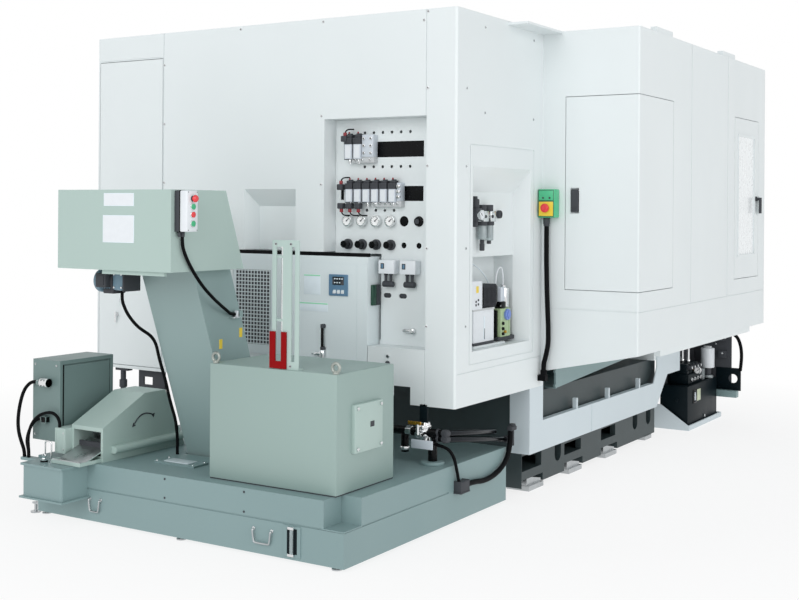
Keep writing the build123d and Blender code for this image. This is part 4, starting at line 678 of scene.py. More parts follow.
@dataclass
class ValveBanks:
    """Two rows of solenoid valves with their manifolds, and the pressure switches."""

    face: float = 120.0
    upper_x: float = -791.0
    upper_z: float = 2012.0
    lower_x: float = -781.0
    lower_z: float = 1763.0
    lower_pitch: float = 59.5

    def valve(self, x: float, z: float, width: float, height: float) -> list[Work]:
        """One valve: pale body, black joint, coil with a red override and its plug.

        Args:
            x: Left edge.
            z: Lower edge.
            width: Width of the valve.
            height: Height of the valve.

        Returns:
            Its works.
        """
        y = self.face
        half = x + width / 2
        low = z + height * 0.1
        mid = z + height * 0.6
        return [
            block((x + 5, y - 60, low), (x + width - 5, y, mid), PALE_PLASTIC, 2)
            .inset(REAR, 4, 1.5, WHITE_PLASTIC),
            block((x, y - 55, low - 4), (x + 5, y, mid + 4), BLACK, 1),
            block((x + 3, y - 64, mid), (x + width - 3, y - 6, mid + height * 0.22), BLACK, 3)
            .inset(REAR, 6, -2),
            block((x + 9, y - 54, mid + height * 0.22), (x + width - 9, y - 14, z + height - 12),
                BLACK, 3)
            .step(TOP, 6, 6, DARK_RED),
            bar((half - 8, y - 34, z + height - 16), (half - 8, y - 34, z + height + 4), 5,
                DARK_RED, 12, 1),
            bar((half, y - 34, z - 6), (half, y - 34, low + 2), 9, NICKEL, 16, 1)
            .step(FOOT, 2.5, 4, BLACK),
        ]

    def connector(self, x: float, z: float, down: bool) -> list[Work]:
        """Angled plug with a dark red collar and its cable end.

        Args:
            x: Middle of the plug.
            z: Edge where it meets the valve.
            down: True where it hangs under the valve.

        Returns:
            Its works.
        """
        y = self.face
        way = -1 if down else 1
        return [
            block((x - 19, y - 72, min(z, z + 34 * way)), (x + 19, y - 34, max(z, z + 34 * way)),
                BLACK, 5),
            bar((x, y - 52, z + 34 * way), (x, y - 52, z + 54 * way), 11, DARK_RED, 16, 1.5),
            wire_piece((
                (x, y - 52, z + 50 * way), (x + 4, y - 50, z + 66 * way),
                (x + 26, y - 44, z + 74 * way), (x + 52, y - 36, z + 72 * way),
            ), 4, RUBBER),
        ]

    def manifold(self, x0: float, x1: float, z0: float, z1: float) -> list[Work]:
        """Pale end block with rows of push-in fittings.

        Args:
            x0: Left edge.
            x1: Right edge.
            z0: Lower edge.
            z1: Upper edge.

        Returns:
            Its works.
        """
        y = self.face
        works = [block((x0, y - 50, z0), (x1, y, z1), PALE_PLASTIC, 3)]
        for row in range(3):
            for column in range(2):
                px = x0 + 15 + column * (x1 - x0 - 30)
                pz = z0 + 22 + row * (z1 - z0 - 44) / 2
                port = bar((px, y - 48, pz), (px, y - 58, pz), 9.5, NICKEL, 16, 1)
                works.append(port.step(REAR, 3, -3, BLACK))
        return works

    def foot_rail(self, x0: float, x1: float, z: float, count: int) -> list[Work]:
        """Grey rail of outlet fittings under a row of valves."""
        y = self.face
        pitch = (x1 - x0) / count
        px = x0 + pitch / 2
        port = bar((px, y - 40, z - 17), (px, y - 52, z - 17), 8, NICKEL, 14, 1)
        port.step(REAR, 2.6, -3, BLACK)
        return [
            block((x0, y - 42, z - 34), (x1, y, z), GREY_PLASTIC, 2.5),
            port,
        ] + [port.copy(pitch * i) for i in range(1, count)]

    def switch(self, x: float) -> list[Work]:
        """White pressure switch with its display and push-in tee.

        Args:
            x: Left edge of the switch.

        Returns:
            Its works.
        """
        y = self.face
        works = [
            block((x - 6, y - 62, 1370), (x + 98, y - 3, 1448), WHITE_PLASTIC, 3),
            block((x + 10, y - 64, 1398), (x + 33, y - 61, 1430), SCREEN, 0.8)
            .inset(REAR, 4, -0.8, CONTROL_BLUE),
        ]
        for stem in (x + 26, x + 60):
            works.append(bar((stem, y - 30, 1318), (stem, y - 30, 1372), 8.6, BLACK, 20))
            works.append(bar((stem, y - 30, 1360), (stem, y - 30, 1372), 12, BLACK, 16, 1))
        works.append(bar((x + 8, y - 30, 1310), (x + 78, y - 30, 1310), 17, BLACK, 24, 4))
        works.append(bar((x + 43, y - 30, 1310), (x + 43, y, 1310), 11, NICKEL, 16))
        return works

    def build(self) -> None:
        """Build both rows, the switches and the drain fitting."""
        works: list[Work] = []
        for i in range(2):
            works += self.valve(self.upper_x + 2 + i * 62, self.upper_z, 60, 172)
        works += self.connector(self.upper_x + 6, self.upper_z + 118, False)
        works += self.manifold(-668, -590, 2040, 2168)
        works += self.foot_rail(-744, -590, 2040, 3)
        gather("valve_bank_upper", works, "black_plastic", "valve_banks")
        works = []
        for i in range(6):
            works += self.valve(self.lower_x + i * self.lower_pitch, self.lower_z, 56, 152)
        works += self.connector(self.lower_x - 30, self.lower_z + 86, False)
        for i in range(3):
            works += self.connector(self.lower_x - 26 + i * self.lower_pitch, self.lower_z + 10, True)
        works += self.manifold(-428, -404, 1786, 1890)
        works += self.foot_rail(-606, -404, 1786, 5)
        gather("valve_bank_lower", works, "black_plastic")
        works = self.switch(-535) + self.switch(-392)
        gather("pressure_switches", works + [
            bar((-337, self.face - 26, 1047), (-337, self.face, 1047), 18, NICKEL, 6, 1.5)
            .step(REAR, 4, 8),
            bar((-392, self.face - 18, 1047), (-337, self.face - 18, 1047), 11, NICKEL, 20, 1.5)
            .step(LEFT, 2.5, 8, BLACK),
        ], "pendant_white")


@dataclass
class SlotPlates:
    """Black rack plates and port caps behind the slots of the valve plate."""

    face: float = 126.0

    def build(self) -> None:
        """Build the rack plates, the square pads and the port caps."""
        y = self.face
        works = []
        for x0, x1, z0, z1 in ((-662, -271, 2031, 2136), (-420, -273, 1779, 1879),
                               (-851, -821, 1787, 1877)):
            plate = block((x0, y, z0), (x1, y + 4, z1), GLOSS_BLACK, 1)
            works.append(plate.inset(REAR, 12, -1))
        for x in (-517, -412):
            works.append(block((x - 30, y, 1222), (x + 30, y + 3, 1262), BLACK, 1))
        for x, z, r in ((-408, 1670, 34), (-408, 1532, 20), (-308, 1532, 20), (-308, 1670, 34)):
            cap = bar((x, y, z), (x, y + 5, z), r, GLOSS_BLACK, 28)
            works.append(cap.inset(REAR, 6, -2))
        gather("plate_backings", works + [
            bar((-308, y - 2, 1670), (-308, y - 22, 1670), 26, GLOSS_BLACK, 24, 2)
            .step(REAR, 9, 8, BLACK),
            block((-334, y - 6, 1662), (-282, y - 1, 1678), NICKEL, 1.5),
        ], "black_plastic")


@dataclass
class Gauges:
    """Round pressure gauges and the regulator knobs under them."""

    face: float = 120.0
    first_x: float = -786.0
    pitch: float = 98.7
    gauge_z: float = 1670.0
    knob_z: float = 1533.0
    bezel_r: float = 33.0

    def gauge(self) -> list[Work]:
        """Bezel, dial, tick marks and pointer of one gauge."""
        x, y, z = self.first_x, self.face, self.gauge_z
        works = [
            bar((x, y, z), (x, y - 32, z), self.bezel_r, NICKEL, 40, 1.5)
            .step(REAR, 5, -5, DIAL_WHITE),
            block((x - 2, y - 30, z - 6), (x + 2, y - 28.6, z + 21), BLACK, 0.4)
            .turned(-48, REAR, (x, y, z)),
            bar((x, y - 27, z), (x, y - 31, z), 4, BLACK, 16, 0.8),
        ]
        tick = block((x - 0.8, y - 28.3, z + 21), (x + 0.8, y - 27.4, z + 26), BLACK)
        for i in range(11):
            works.append(tick.copy().turned(-135 + 27 * i, REAR, (x, y, z)))
        bpy.data.objects.remove(tick.obj)
        return works

    def knob(self) -> list[Work]:
        """Stepped black knob with a grip ring and its lock nut."""
        x, y, z = self.first_x - 3, self.face, self.knob_z
        works = [
            bar((x, y, z), (x, y - 17, z), 30.6, BLACK, 36, 2.5),
            bar((x, y - 15, z), (x, y - 58, z), 20.6, GLOSS_BLACK, 36, 2)
            .step(REAR, 4, 6, None, 0.94),
        ]
        rib = block((x - 1.4, y - 56, z + 19.6), (x + 1.4, y - 22, z + 21.6), BLACK, 0.5)
        for i in range(16):
            works.append(rib.copy().turned(22.5 * i, REAR, (x, y, z)))
        bpy.data.objects.remove(rib.obj)
        return works

    def build(self) -> None:
        """Model one gauge and one knob and copy them along the row."""
        works = self.gauge() + self.knob()
        copies = [work.copy(self.pitch * i) for i in range(1, 4) for work in works]
        gather("gauges_and_knobs", works + copies, "grey_plastic", "regulator_gauges")


@dataclass
class ChillerTrim:
    """Controller, sight tube, plug and blank plates of the chiller, and a black strip of painted shade in
    the gap above it.
    """

    left: float = -1560.0
    right: float = -577.0
    top: float = 1464.0

    def controller(self) -> list[Work]:
        """Blue-grey control field with its display and three keys."""
        works = [
            block((-841, -8, 1235), (-709, 0, 1359), CONTROL_BLUE, 2)
            .inset(REAR, 5, -1.2),
            block((-815, -8.6, 1298), (-735, -6.4, 1346), SCREEN, 1),
        ]
        for row, z in enumerate((1308, 1330)):
            for i in range(3 + row):
                x = -803 + i * 17
                works.append(block((x, -9.2, z), (x + 10, -8.2, z + 7), PALE_STRIP, 0.4))
        for x in (-812, -783, -754):
            key = block((x, -10, 1248), (x + 18, -6.5, 1264), WHITE_PLASTIC, 1.6)
            works.append(key)
        return works

    def sight_tube(self) -> list[Work]:
        """Dark level tube between its elbows, and the drain elbow."""
        works = [bar((-876, -20, 925), (-876, -20, 1056), 8.6, GLOSS_BLACK, 20)]
        for z in (925, 1056):
            seat = bar((-876, 1, z), (-876, -24, z), 12.6, BLACK, 20, 2)
            works.append(seat.step(REAR, 3, 3, NICKEL))
            works.append(bar((-876, -20, z - 11), (-876, -20, z + 11), 11, BLACK, 20, 1.5))
        return works + [
            bar((-876, -20, 868), (-876, -20, 915), 14.6, NICKEL, 24, 3),
            bar((-926, -20, 892), (-876, -20, 892), 10.6, NICKEL, 20, 2)
            .step(LEFT, 3, 22, BLACK),
        ]

    def grille(self) -> list[Work]:
        """Fine white lattice over its dark backing."""
        post = block((-1540.5, -3.4, 919), (-1535.5, -1, 1366), CHILLER)
        slat = block((-1540, -3.2, 920), (-1275, -1, 925), CHILLER)
        works = [
            block((-1541, -1.4, 918), (-1274, 0.6, 1367), BLACK),
            post, slat,
        ] + [post.copy(23.7 * i) for i in range(1, 12)]
        return works + [slat.copy(0, 0, 22 * i) for i in range(1, 21)]

    def build(self) -> None:
        """Build the trim in one piece, and the black strip of painted shade above the chiller in another.
        """
        works = self.controller() + self.sight_tube() + [
            block((self.right, 72, 1186), (self.right + 18, 112, 1304), BLACK, 3),
            block((self.right, 34, 1186), (self.right + 16, 73, 1304), DARK_GREEN, 3),
        ]
        gather("chiller_fittings", works, "grey_plastic")
        gather("chiller_grille", self.grille(), "enclosure_white")
        plates = []
        for x0, x1, z0, z1 in ((-1023, -906, 1236, 1353), (-1055, -852, 1138, 1189)):
            plate = block((x0, -1.6, z0), (x1, 0.2, z1), PALE_STRIP, 0.5)
            band = block((x0, -2, z1 - 9), (x1, -1.2, z1 - 2), MINT_STRIP, 0.3)
            plates += [plate, band]
        gather("chiller_plates", plates, "pendant_white")
        # Black strip in the gap between the chiller's top and the enclosure's cut-out: painted shade.
        gather("chiller_top_gap_shade", [
            block((self.left - 2, 3, self.top), (self.right + 2, 30, self.top + 21), RUBBER, 3),
        ], "rubber_black")


@dataclass
class LevelGauge:
    """Slotted plate of the level gauge with its guides, red forked stop and screws."""

    left: float = -557.0
    right: float = -454.0
    face: float = -925.0
    low: float = 934.0
    high: float = 1118.0

    def plate(self) -> list[Work]:
        """Upright plate with two slots, its foot and the two guides of the rod."""
        sheet = block((-549, -917, 930), (-380, -911, 1580), GREY_GREEN, 0.8)
        for x0, x1 in ((-523, -483), (-427, -406)):
            sheet.cut(block((x0, -930, 970), (x1, -900, 1546), GREY_GREEN))
        works = [sheet, block((-549, -912, 930), (-380, -877, 936), GREY_GREEN, 0.8)]
        for z in (1170, 1490):
            guide = block((-543, -912, z), (-453, -881, z + 12), GREY_GREEN)
            works.append(guide.cut(bar((-495, -897, z - 6), (-495, -897, z + 18), 9.6, GREY_GREEN, 32)))
        return works

    def build(self) -> None:
        """Build the plate, the fork from its foot and two prongs, and the post screws."""
        gather("level_plate", self.plate(), "grey_green", "level_post")
        front = self.face - 1.2
        back = self.face + 7.6
        gather("level_fork", [
            block((self.left - 0.6, front, self.low - 0.6), (self.right + 0.6, back, 970.6),
                FORK_RED, 1),
            block((self.left - 0.6, front, 969), (-522.6, back, self.high + 0.6), FORK_RED, 1),
            block((-485.4, front, 969), (self.right + 0.6, back, self.high + 0.6), FORK_RED, 1),
        ], "red_plastic")
        screw = bar((-430, -917, 1560), (-430, -921, 1560), 7, NICKEL, 14)
        screw.step(REAR, 1.6, -1.5, BLACK)
        gather("level_post_screws", [screw, screw.copy(-94), screw.copy(0, 0, -612)], "nickel")


@dataclass
class LiftingEyes:
    """Forged eye bolts on the pump housing."""

    places: Sequence[tuple[float, float]] = ((-915, -915), (-154, -915))
    seat: float = 930.0

    def build(self) -> None:
        """Model one eye bolt and copy it."""
        x, y = self.places[0]
        eye = ring((x, y, self.seat + 31), REAR, 22, 8, EYE_STEEL)
        collar = bar((x, y, self.seat), (x, y, self.seat + 11), 16, EYE_STEEL, 24, 2)
        collar.step(TOP, 4, 5, None, 0.7)
        dx, dy = self.places[1][0] - x, self.places[1][1] - y
        works = [eye, collar, eye.copy(dx, dy), collar.copy(dx, dy)]
        gather("lifting_eyes", works, "nickel")


# Service bay in the right face
@dataclass
class AirUnit:
    """Filter, regulator and lubricator row with its gauge and port cap."""

    face: float = -100.0

    def module(self, y: float, low: float, bowl_r: float) -> list[Work]:
        """One module: body block, clear bowl with its guard and drain.

        Args:
            y: Middle of the module.
            low: Lower end of its bowl.
            bowl_r: Radius of the bowl.

        Returns:
            Its works.
        """
        x = self.face + 34
        return [
            block((self.face + 3, y - 31, 1670), (self.face + 64, y + 31, 1732), NICKEL, 4)
            .inset(RIGHT, 7, -2),
            bar((x, y, 1730), (x, y, 1768), 24, BLACK, 28, 3),
            bar((self.face + 60, y - 14, 1700), (self.face + 70, y - 14, 1700),
                9, BLACK, 20, 1.5),
            bar((x, y, 1648), (x, y, 1672), bowl_r + 4, BLACK, 28, 3),
            bar((x, y, low), (x, y, 1650), bowl_r, CLEAR, 28, 5),
            bar((x, y, low + 16), (x, y, 1650), bowl_r - 9, GREY_PLASTIC, 20, 2),
            bar((x, y, low - 20), (x, y, low + 2), 13, BLACK, 20, 2),
        ]

    def build(self) -> None:
        """Build the row on its rail with the dial gauge and the bulkhead cap."""
        face = self.face
        works = self.module(425, 1566, 26) + self.module(510, 1560, 26)
        works += [
            block((face + 2, 306, 1676), (face + 62, 374, 1748), BLACK, 5),
            bar((face + 60, 340, 1708), (face + 84, 340, 1708), 30, NICKEL, 36, 2)
            .step(RIGHT, 4, -4, WHITE_PLASTIC),
            block((face + 80, 338.6, 1704), (face + 82, 341.4, 1728), BLACK, 0.3)
            .turned(52, RIGHT, (face, 340, 1708)),
            bar((face + 34, 340, 1748), (face + 34, 340, 1800), 24, BLACK, 30, 3)
            .step(TOP, 7, 16, None, 0.9),
            block((face, 300, 1694), (face + 14, 548, 1728), GREY_PLASTIC, 2),
            bar((face + 34, 340, 1640), (face + 34, 340, 1676), 17, BLACK, 20, 3),
            bar((face + 34, 425, 1502), (face + 34, 425, 1546), 15, BLACK, 20, 4),
            block((face + 2, 286, 1752), (face + 40, 312, 1812), BLACK, 4),
            bar((face, 684, 1712), (face + 22, 684, 1712), 24, BLACK, 28, 3)
            .inset(RIGHT, 6, -3),
            bar((face + 34, 541, 1708), (face + 34, 556, 1708), 14, NICKEL, 6, 1.5),
        ]
        gather("air_unit_dressed", works, "grey_plastic", "air_service_unit")


@dataclass
class LubricatorUnit:
    """White oil tank, junction box, black motor and pale green pump on their tray."""

    face: float = -50.0
    floor: float = 945.0

    def tank(self) -> list[Work]:
        """Tank with its ribbed front, sight slit and dark foot."""
        x = self.face
        z = self.floor
        return [
            block((x - 110, 318, z + 26), (x - 10, 571, 1160), WHITE_PLASTIC, 6)
            .inset(RIGHT, 14, -2),
            block((x - 114, 314, z + 14), (x - 6, 566, z + 30), BLACK, 3),
            block((x - 13, 444, 984), (x - 9, 458, 1122), PALE_STRIP, 2),
            block((x - 12, 448, 988), (x - 8, 454, 1052), GLOSS_BLACK, 1.2),
            block((x - 112, 314, 1156), (x - 8, 575, 1168), GREY_PLASTIC, 3),
        ]

    def terminal_box(self) -> list[Work]:
        """White junction box with a bare plate and two small sockets."""
        x = self.face
        works = [
            block((x - 62, 298, 1166), (x - 8, 420, 1330), WHITE_PLASTIC, 3)
            .inset(RIGHT, 6, -1.5),
            block((x - 10, 346, 1262), (x - 8.4, 376, 1300), YELLOW, 0.6),
        ]
        for y, z in ((338, 1206), (366, 1190), (338, 1186), (366, 1214)):
            works.append(block((x - 11, y, z), (x - 7, y + 14, z + 12), BLACK, 1))
        return works

    def motor(self) -> list[Work]:
        """Black motor with cooling fins on its saddle."""
        x = self.face - 75
        works = [
            block((x - 60, 432, 1180), (x + 58, 640, 1298), GLOSS_BLACK, 16),
            block((x - 42, 436, 1164), (x + 46, 632, 1196), GLOSS_BLACK, 4),
        ]
        fin = block((x - 65, 452, 1175), (x + 63, 457, 1303), BLACK, 14)
        works.append(fin)
        works += [fin.copy(0, 16 * i) for i in range(1, 10)]
        return works

    def pump(self) -> list[Work]:
        """Pale green pump body with its blue cap, black base, and a black block to its right as painted
        shade.
        """
        x = self.face
        works = [
            block((x - 118, 676, self.floor + 34), (x - 20, 806, 1150), PALE_GREEN, 8)
            .inset(RIGHT, 12, -3),
            bar((x - 26, 756, 1112), (x - 8, 756, 1112), 34, PUMP_BLUE, 32, 4)
            .step(RIGHT, 9, 5),
            block((x - 122, 655, self.floor + 12), (x - 24, 868, self.floor + 36), BLACK, 4),
            block((x - 116, 655, self.floor + 30), (x - 40, 678, 1140), GLOSS_BLACK, 4),
        ]
        for z in (1000, 1030, 1062):
            works.append(bar((x - 24, 698, z), (x - 8, 698, z), 10, GLOSS_BLACK, 6, 1.5))
        works.append(bar((x - 24, 730, 1010), (x - 10, 730, 1010), 9, BRASS, 6, 1.5))
        return works + [
            block((x - 112, 690, 1150), (x - 24, 752, 1190), GLOSS_BLACK, 5),
            block((x - 96, 694, 1190), (x - 30, 748, 1276), PALE_PLASTIC, 4)
            .inset(RIGHT, 7, -2),
            block((x - 98, 690, 1160), (x - 26, 752, 1172), WHITE_PLASTIC, 1.5),
            bar((x - 70, 800, 1150), (x - 70, 800, 1270), 36, NICKEL, 36, 5)
            .step(TOP, 12, 14, GLOSS_BLACK),
            # Tall gloss-black block right of the pump: painted shade beside the pump.
            block((x - 122, 812, self.floor + 30), (x - 64, 866, 1262), GLOSS_BLACK, 8),
        ]

    def build(self) -> None:
        """Build the unit and its white tube."""
        works = [
            block((self.face - 132, 300, self.floor), (self.face + 2, 690, self.floor + 14),
                WHITE, 3)
            .inset(TOP, 6, -3),
        ] + self.tank() + self.terminal_box() + self.motor() + self.pump()
        route = (
            (-118, 694, 1262), (-116, 692, 1330), (-112, 712, 1384), (-110, 752, 1398),
            (-112, 784, 1360), (-118, 792, 1270),
        )
        works.append(wire_piece(route, 5, WHITE_PLASTIC))
        supply = (
            (-112, 640, 1240), (-120, 610, 1320), (-150, 540, 1400), (-196, 470, 1440),
            (-222, 430, 1452),
        )
        works.append(wire_piece(supply, 3.5, PALE_STRIP))
        gather("lubricator_dressed", works, "pendant_white", "lubricator")


@dataclass
class EmergencyStation:
    """Green stop box with its yellow plate, two lamps, black gland and red button."""

    middle_x: float = 62.0
    face: float = 1022.0

    def build(self) -> None:
        """Build the box, and the button that rides on its own body."""
        y = self.face
        rims = [block((8, y - 4, z0), (111, y - 2.4, z1), DARK_GREEN, 0.6)
                for z0, z1 in ((1699, 1795), (1797, 1862))]
        lamp = bar((self.middle_x - 22, y - 3, 1814), (self.middle_x - 22, y - 9, 1814),
            6, BLACK, 20, 1.5)
        twin = lamp.copy(44)
        works = [
            block((3, y, 1693), (116, 1092, 1868), GREEN, 6),
            block((6, y - 3, 1696), (113, y + 3, 1865), GREEN, 2.5),
            block((12, y - 6, 1703), (107, y - 3, 1791), YELLOW, 1.2),
            block((11, y - 5, 1800), (108, y - 3, 1859), GREEN, 1.2),
            lamp, twin,
            bar((self.middle_x, y - 3, 1752), (self.middle_x, y - 9, 1752), 17, BLACK, 32, 2)
            .inset(REAR, 3, -2),
            bar((46, y + 36, 1653), (46, y + 36, 1695), 21.5, BLACK, 6, 3),
            bar((46, y + 36, 1640), (46, y + 36, 1656), 18, BLACK, 24, 3),
        ] + rims
        gather("stop_box_dressed", works, "green_plastic", "estop_box")
        gather("stop_button", [
            bar((58, y + 14, 1752), (58, y - 16, 1752), 10, RED, 24),
            bar((58, y - 15, 1752), (58, y - 26, 1752), 27, RED, 40, 2)
            .step(REAR, 4, 6, None, 0.8),
        ], "red_plastic", "estop_button", body="estop_button")


# Conveyor
@dataclass
class HeadDressing:
    """Bare plates, edge screws and cable clip of the conveyor head and riser."""

    face: float = -1170.0

    def build(self) -> None:
        """Build the bare plates, the yellow ones, the edge screws and the cable clip."""
        works = []
        for x0, x1, z0, z1 in ((-1475, -1259, 1746, 1814), (-1481, -1257, 1554, 1698)):
            plate = block((x0, self.face - 1.8, z0), (x1, self.face + 0.3, z1), PALE_STRIP, 0.5)
            works.append(plate.inset(REAR, 3, 0.2, WHITE_PLASTIC))
        gather("head_plates", works, "pendant_white")
        works = []
        for y, z in ((-673, 968), (-503, 1018)):
            plate = block((-1100.4, y, z), (-1098.4, y + 26, z + 52), YELLOW, 0.5)
            works.append(plate.inset(RIGHT, 3, 0.2))
        gather("riser_plates", works, "pendant_white")
        screw = bar((-1810, self.face + 60, 1408), (-1810, self.face + 60, 1405), 6, NICKEL, 14)
        screw.step(FOOT, 1.6, -1.2, BLACK)
        works = [screw] + [screw.copy(140 * i) for i in range(1, 6)]
        gather("head_screws", works, "nickel")
        gather("cable_clip", [
            block((-1104, -594, 1131), (-1064, -536, 1139), NICKEL, 1.5),
            block((-1082, -566, 1134), (-1066, -550, 1172), WHITE_PLASTIC, 1.5),
            ring((-1080, -548, 1152), FRONT, 14, 3, BLACK),
        ], "black_plastic")


@dataclass
class GearMotor:
    """Blue-grey gear motor: flange, rounded gearbox, finned drum, fan cowl and terminal box."""

    inner: float = -1478.0
    y: float = -950.0
    z: float = 1335.0

    def build(self) -> None:
        """Build the motor in the place of its solid."""
        x, y, z = self.inner, self.y, self.z
        works = [
            block((x - 94, y - 64, z - 48), (x - 2, y + 58, 1406), MOTOR_PAINT, 18),
            block((x - 12, y - 68, z - 52), (x, y + 62, 1407), BLACK, 4),
            block((x - 175, y - 47, z - 67), (x - 97, y + 47, z - 39), BLACK, 4),
            bar((x - 118, y, z), (x - 94, y, z), 62, BLACK, 36, 4),
            bar((x - 200, y, z), (x - 116, y, z), 54, MOTOR_PAINT, 36, 3),
            bar((x - 236, y, z), (x - 198, y, z), 64, MOTOR_PAINT, 40, 7)
            .inset(LEFT, 14, -5, BLACK),
            block((x - 188, y - 94, z - 32), (x - 110, y - 38, z + 46), BLACK, 6)
            .inset(REAR, 8, 3),
        ]
        fin = bar((x - 192, y, z), (x - 188, y, z), 62, MOTOR_PAINT, 36)
        works += [fin] + [fin.copy(13 * i) for i in range(1, 6)]
        screw = bar((x - 20, y - 64, z + 40), (x - 20, y - 69, z + 40), 6, NICKEL, 6, 1)
        works += [
            bar((x - 60, -956, 1285), (x - 60, -956, 1302), 15, BLACK, 20, 3),
            screw,
            screw.copy(-54),
            screw.copy(0, 0, -70),
            screw.copy(-54, 0, -70),
        ]
        gather("gear_motor_dressed", works, "dark_metal", "gear_motor")


@dataclass
class PendantStation:
    """Push-button station: black base, white cover with collars, and its glands."""

    side: float = -1002.0
    back: float = -1147.0
    front: float = -1063.0
    low: float = 1616.0
    high: float = 1828.0
    base_w: float = 37.0
    cover_w: float = 50.0

    def build(self) -> None:
        """Build base, cover, a collar for each button and the two glands."""
        x0 = self.side
        x1 = x0 + self.base_w
        x2 = x1 + self.cover_w
        middle = (self.back + self.front) / 2
        works = [
            block((x0, self.back, self.low), (x1, self.front, self.high), BLACK, 6),
            block((x1 - 1, self.back + 0.5, self.low + 0.5),
                (x2, self.front - 0.5, self.high - 0.5), WHITE_PLASTIC, 7),
            block((x1 - 4, self.back - 0.5, self.low - 0.5),
                (x1 + 1, self.front + 0.5, self.high + 0.5), RUBBER, 2),
        ]
        for z in (1745, 1704, 1658):
            collar = bar((x2 - 2, middle, z), (x2 + 5, middle, z), 18.8, NICKEL, 36, 1.2)
            works.append(collar.step(RIGHT, 3.2, -4, BLACK))
        works.append(bar((x2 - 2, middle, 1786), (x2 + 5, middle, 1786), 15, BLACK, 28, 2))
        for y, r in ((self.back + 20, 9), (middle, 13)):
            gland = bar((x0 + 18, y, self.low - 26), (x0 + 18, y, self.low + 2), r, BLACK, 6, 2)
            works.append(gland)
        for y in (self.back + 9, self.front - 9):
            for z in (self.low + 9, self.high - 9):
                screw = bar((x2 - 1, y, z), (x2 + 1.6, y, z), 3.6, GREY_PLASTIC, 12)
                works.append(screw.inset(RIGHT, 1, -0.8, BLACK))
        gather("pendant_dressed", works, "pendant_white", "pendant_box")
        for place, (z, finish) in enumerate(((1745, BUTTON_GREEN), (1704, RED), (1658, BUTTON_GREEN)), 1):
            name = f"pendant_button_{place}"
            button = bar((x2 - 3, middle, z), (x2 + 9, middle, z), 15, finish, 40, 1.6)
            gather(f"push_button_{place}", [button], finish.slot, name, body=name)


# Tank, separator and boxes
@dataclass
class TankDressing:
    """Wire pulls, sight glass, hatch screws and bolts of the coolant tank."""

    front: float = -1010.0
    seam: float = 190.0
    deck: float = 330.0

    def build(self) -> None:
        """Build the pieces that sit on the tank."""
        y = self.front
        pulls = []
        for x0, x1 in ((-581, -467), (-1725, -1645)):
            route = (
                (x0, y + 2, 138), (x0, y - 14, 138), (x0 + 1, y - 14.5, 126),
                (x0 + 8, y - 14, 76), (x0 + 15, y - 14, 72), (x1 - 15, y - 14, 72),
                (x1 - 8, y - 14, 76), (x1 - 1, y - 14.5, 126), (x1, y - 14, 138),
                (x1, y + 2, 138),
            )
            pulls.append(wire_piece(route, 4.7, STEEL))
            for x in (x0, x1):
                pulls.append(bar((x, y, 138), (x, y - 4, 138), 10, NICKEL, 6, 1))
        gather("wire_pulls", pulls, "steel")
        ends = [block((-360, y - 20, z), (-322, y, z + 14), NICKEL, 3) for z in (34, 166)]
        gather("tank_sight_glass", [
            block((-372, y - 3, 44), (-310, y - 0.6, self.seam - 20), UNIT_DARK, 1),
            bar((-341, y - 9, 44), (-341, y - 9, 172), 9.4, CLEAR, 24, 1.5),
            bar((-341, y - 9, 44), (-341, y - 9, 128), 5, PALE_GREEN, 20),
        ] + ends, "nickel")
        works = [
            block((-1457, -802, self.deck + 7.6), (-1163, -678, self.deck + 11), TANK_PAINT, 1.5)
            .inset(TOP, 16, -1.2),
            block((-1400, -780, self.deck + 9), (-1225, -700, self.deck + 15), SHADE_GREYED_WHITE, 2.5),
        ]
        knob = bar((-1440, -790, self.deck + 10), (-1440, -790, self.deck + 15), 7, NICKEL, 6, 1)
        for dx in (0, 260):
            for dy in (0, 96):
                works.append(knob.copy(dx, dy))
        bpy.data.objects.remove(knob.obj)
        gather("tank_hatch", works, "tank_grey")
        screw = bar((-1180, y, 310), (-1180, y - 2.5, 310), 6, BLACK, 14, 0.8)
        places = ((534, 0), (0, -99), (534, -99))
        gather("tank_front_screws", [screw] + [screw.copy(dx, 0, dz) for dx, dz in places], "nickel")
        cheek = block((-36, 56, 180), (12, 62, 242), BLACK, 2)
        gather("hose_clamp", [
            block((-37, 57, 178), (11, 153, 238.5), BLACK, 3),
            block((-40, 52, 174), (14, 158, 182), BLACK, 2.5),
            cheek,
            cheek.copy(0, 92),
        ], "black_plastic")


@dataclass
class PumpHousing:
    """Pump housing on the tank deck with its bolted side hatch."""

    left: float = -945.0
    right: float = -139.0
    back: float = -929.0
    front: float = -405.0
    deck: float = 330.0
    top: float = 930.0

    def build(self) -> None:
        """Build the housing with a black band at its foot as painted shade in the groove, the raised
        hatch and its bolts.
        """
        bolt = bar((-116, -780, 544), (-107, -780, 544), 9.5, NICKEL, 6, 1.5)
        bolt.step(RIGHT, 2, 1)
        works = [
            block((self.left, self.back, self.deck + 5), (self.right, self.front, self.top),
                TOWER_PAINT, 5)
            .inset(TOP, 10, 0.6),
            # Black band under the housing: painted shade in the groove at its foot.
            block((self.left + 3, self.back + 3, self.deck),
                (self.right - 3, self.front - 3, self.deck + 6), BLACK),
            block((self.right - 2, -800, 524), (-115, -548, 766), GREY_GREEN, 3),
            bolt,
            bolt.copy(0, 212),
            bolt.copy(0, 0, 202),
            bolt.copy(0, 212, 202),
        ]
        plate = block((-115.5, -664, 640), (-113.6, -628, 668), BLACK, 0.4)
        works.append(plate.inset(RIGHT, 4, 0.2))
        gather("pump_housing", works, "grey_green", "pump_tower")


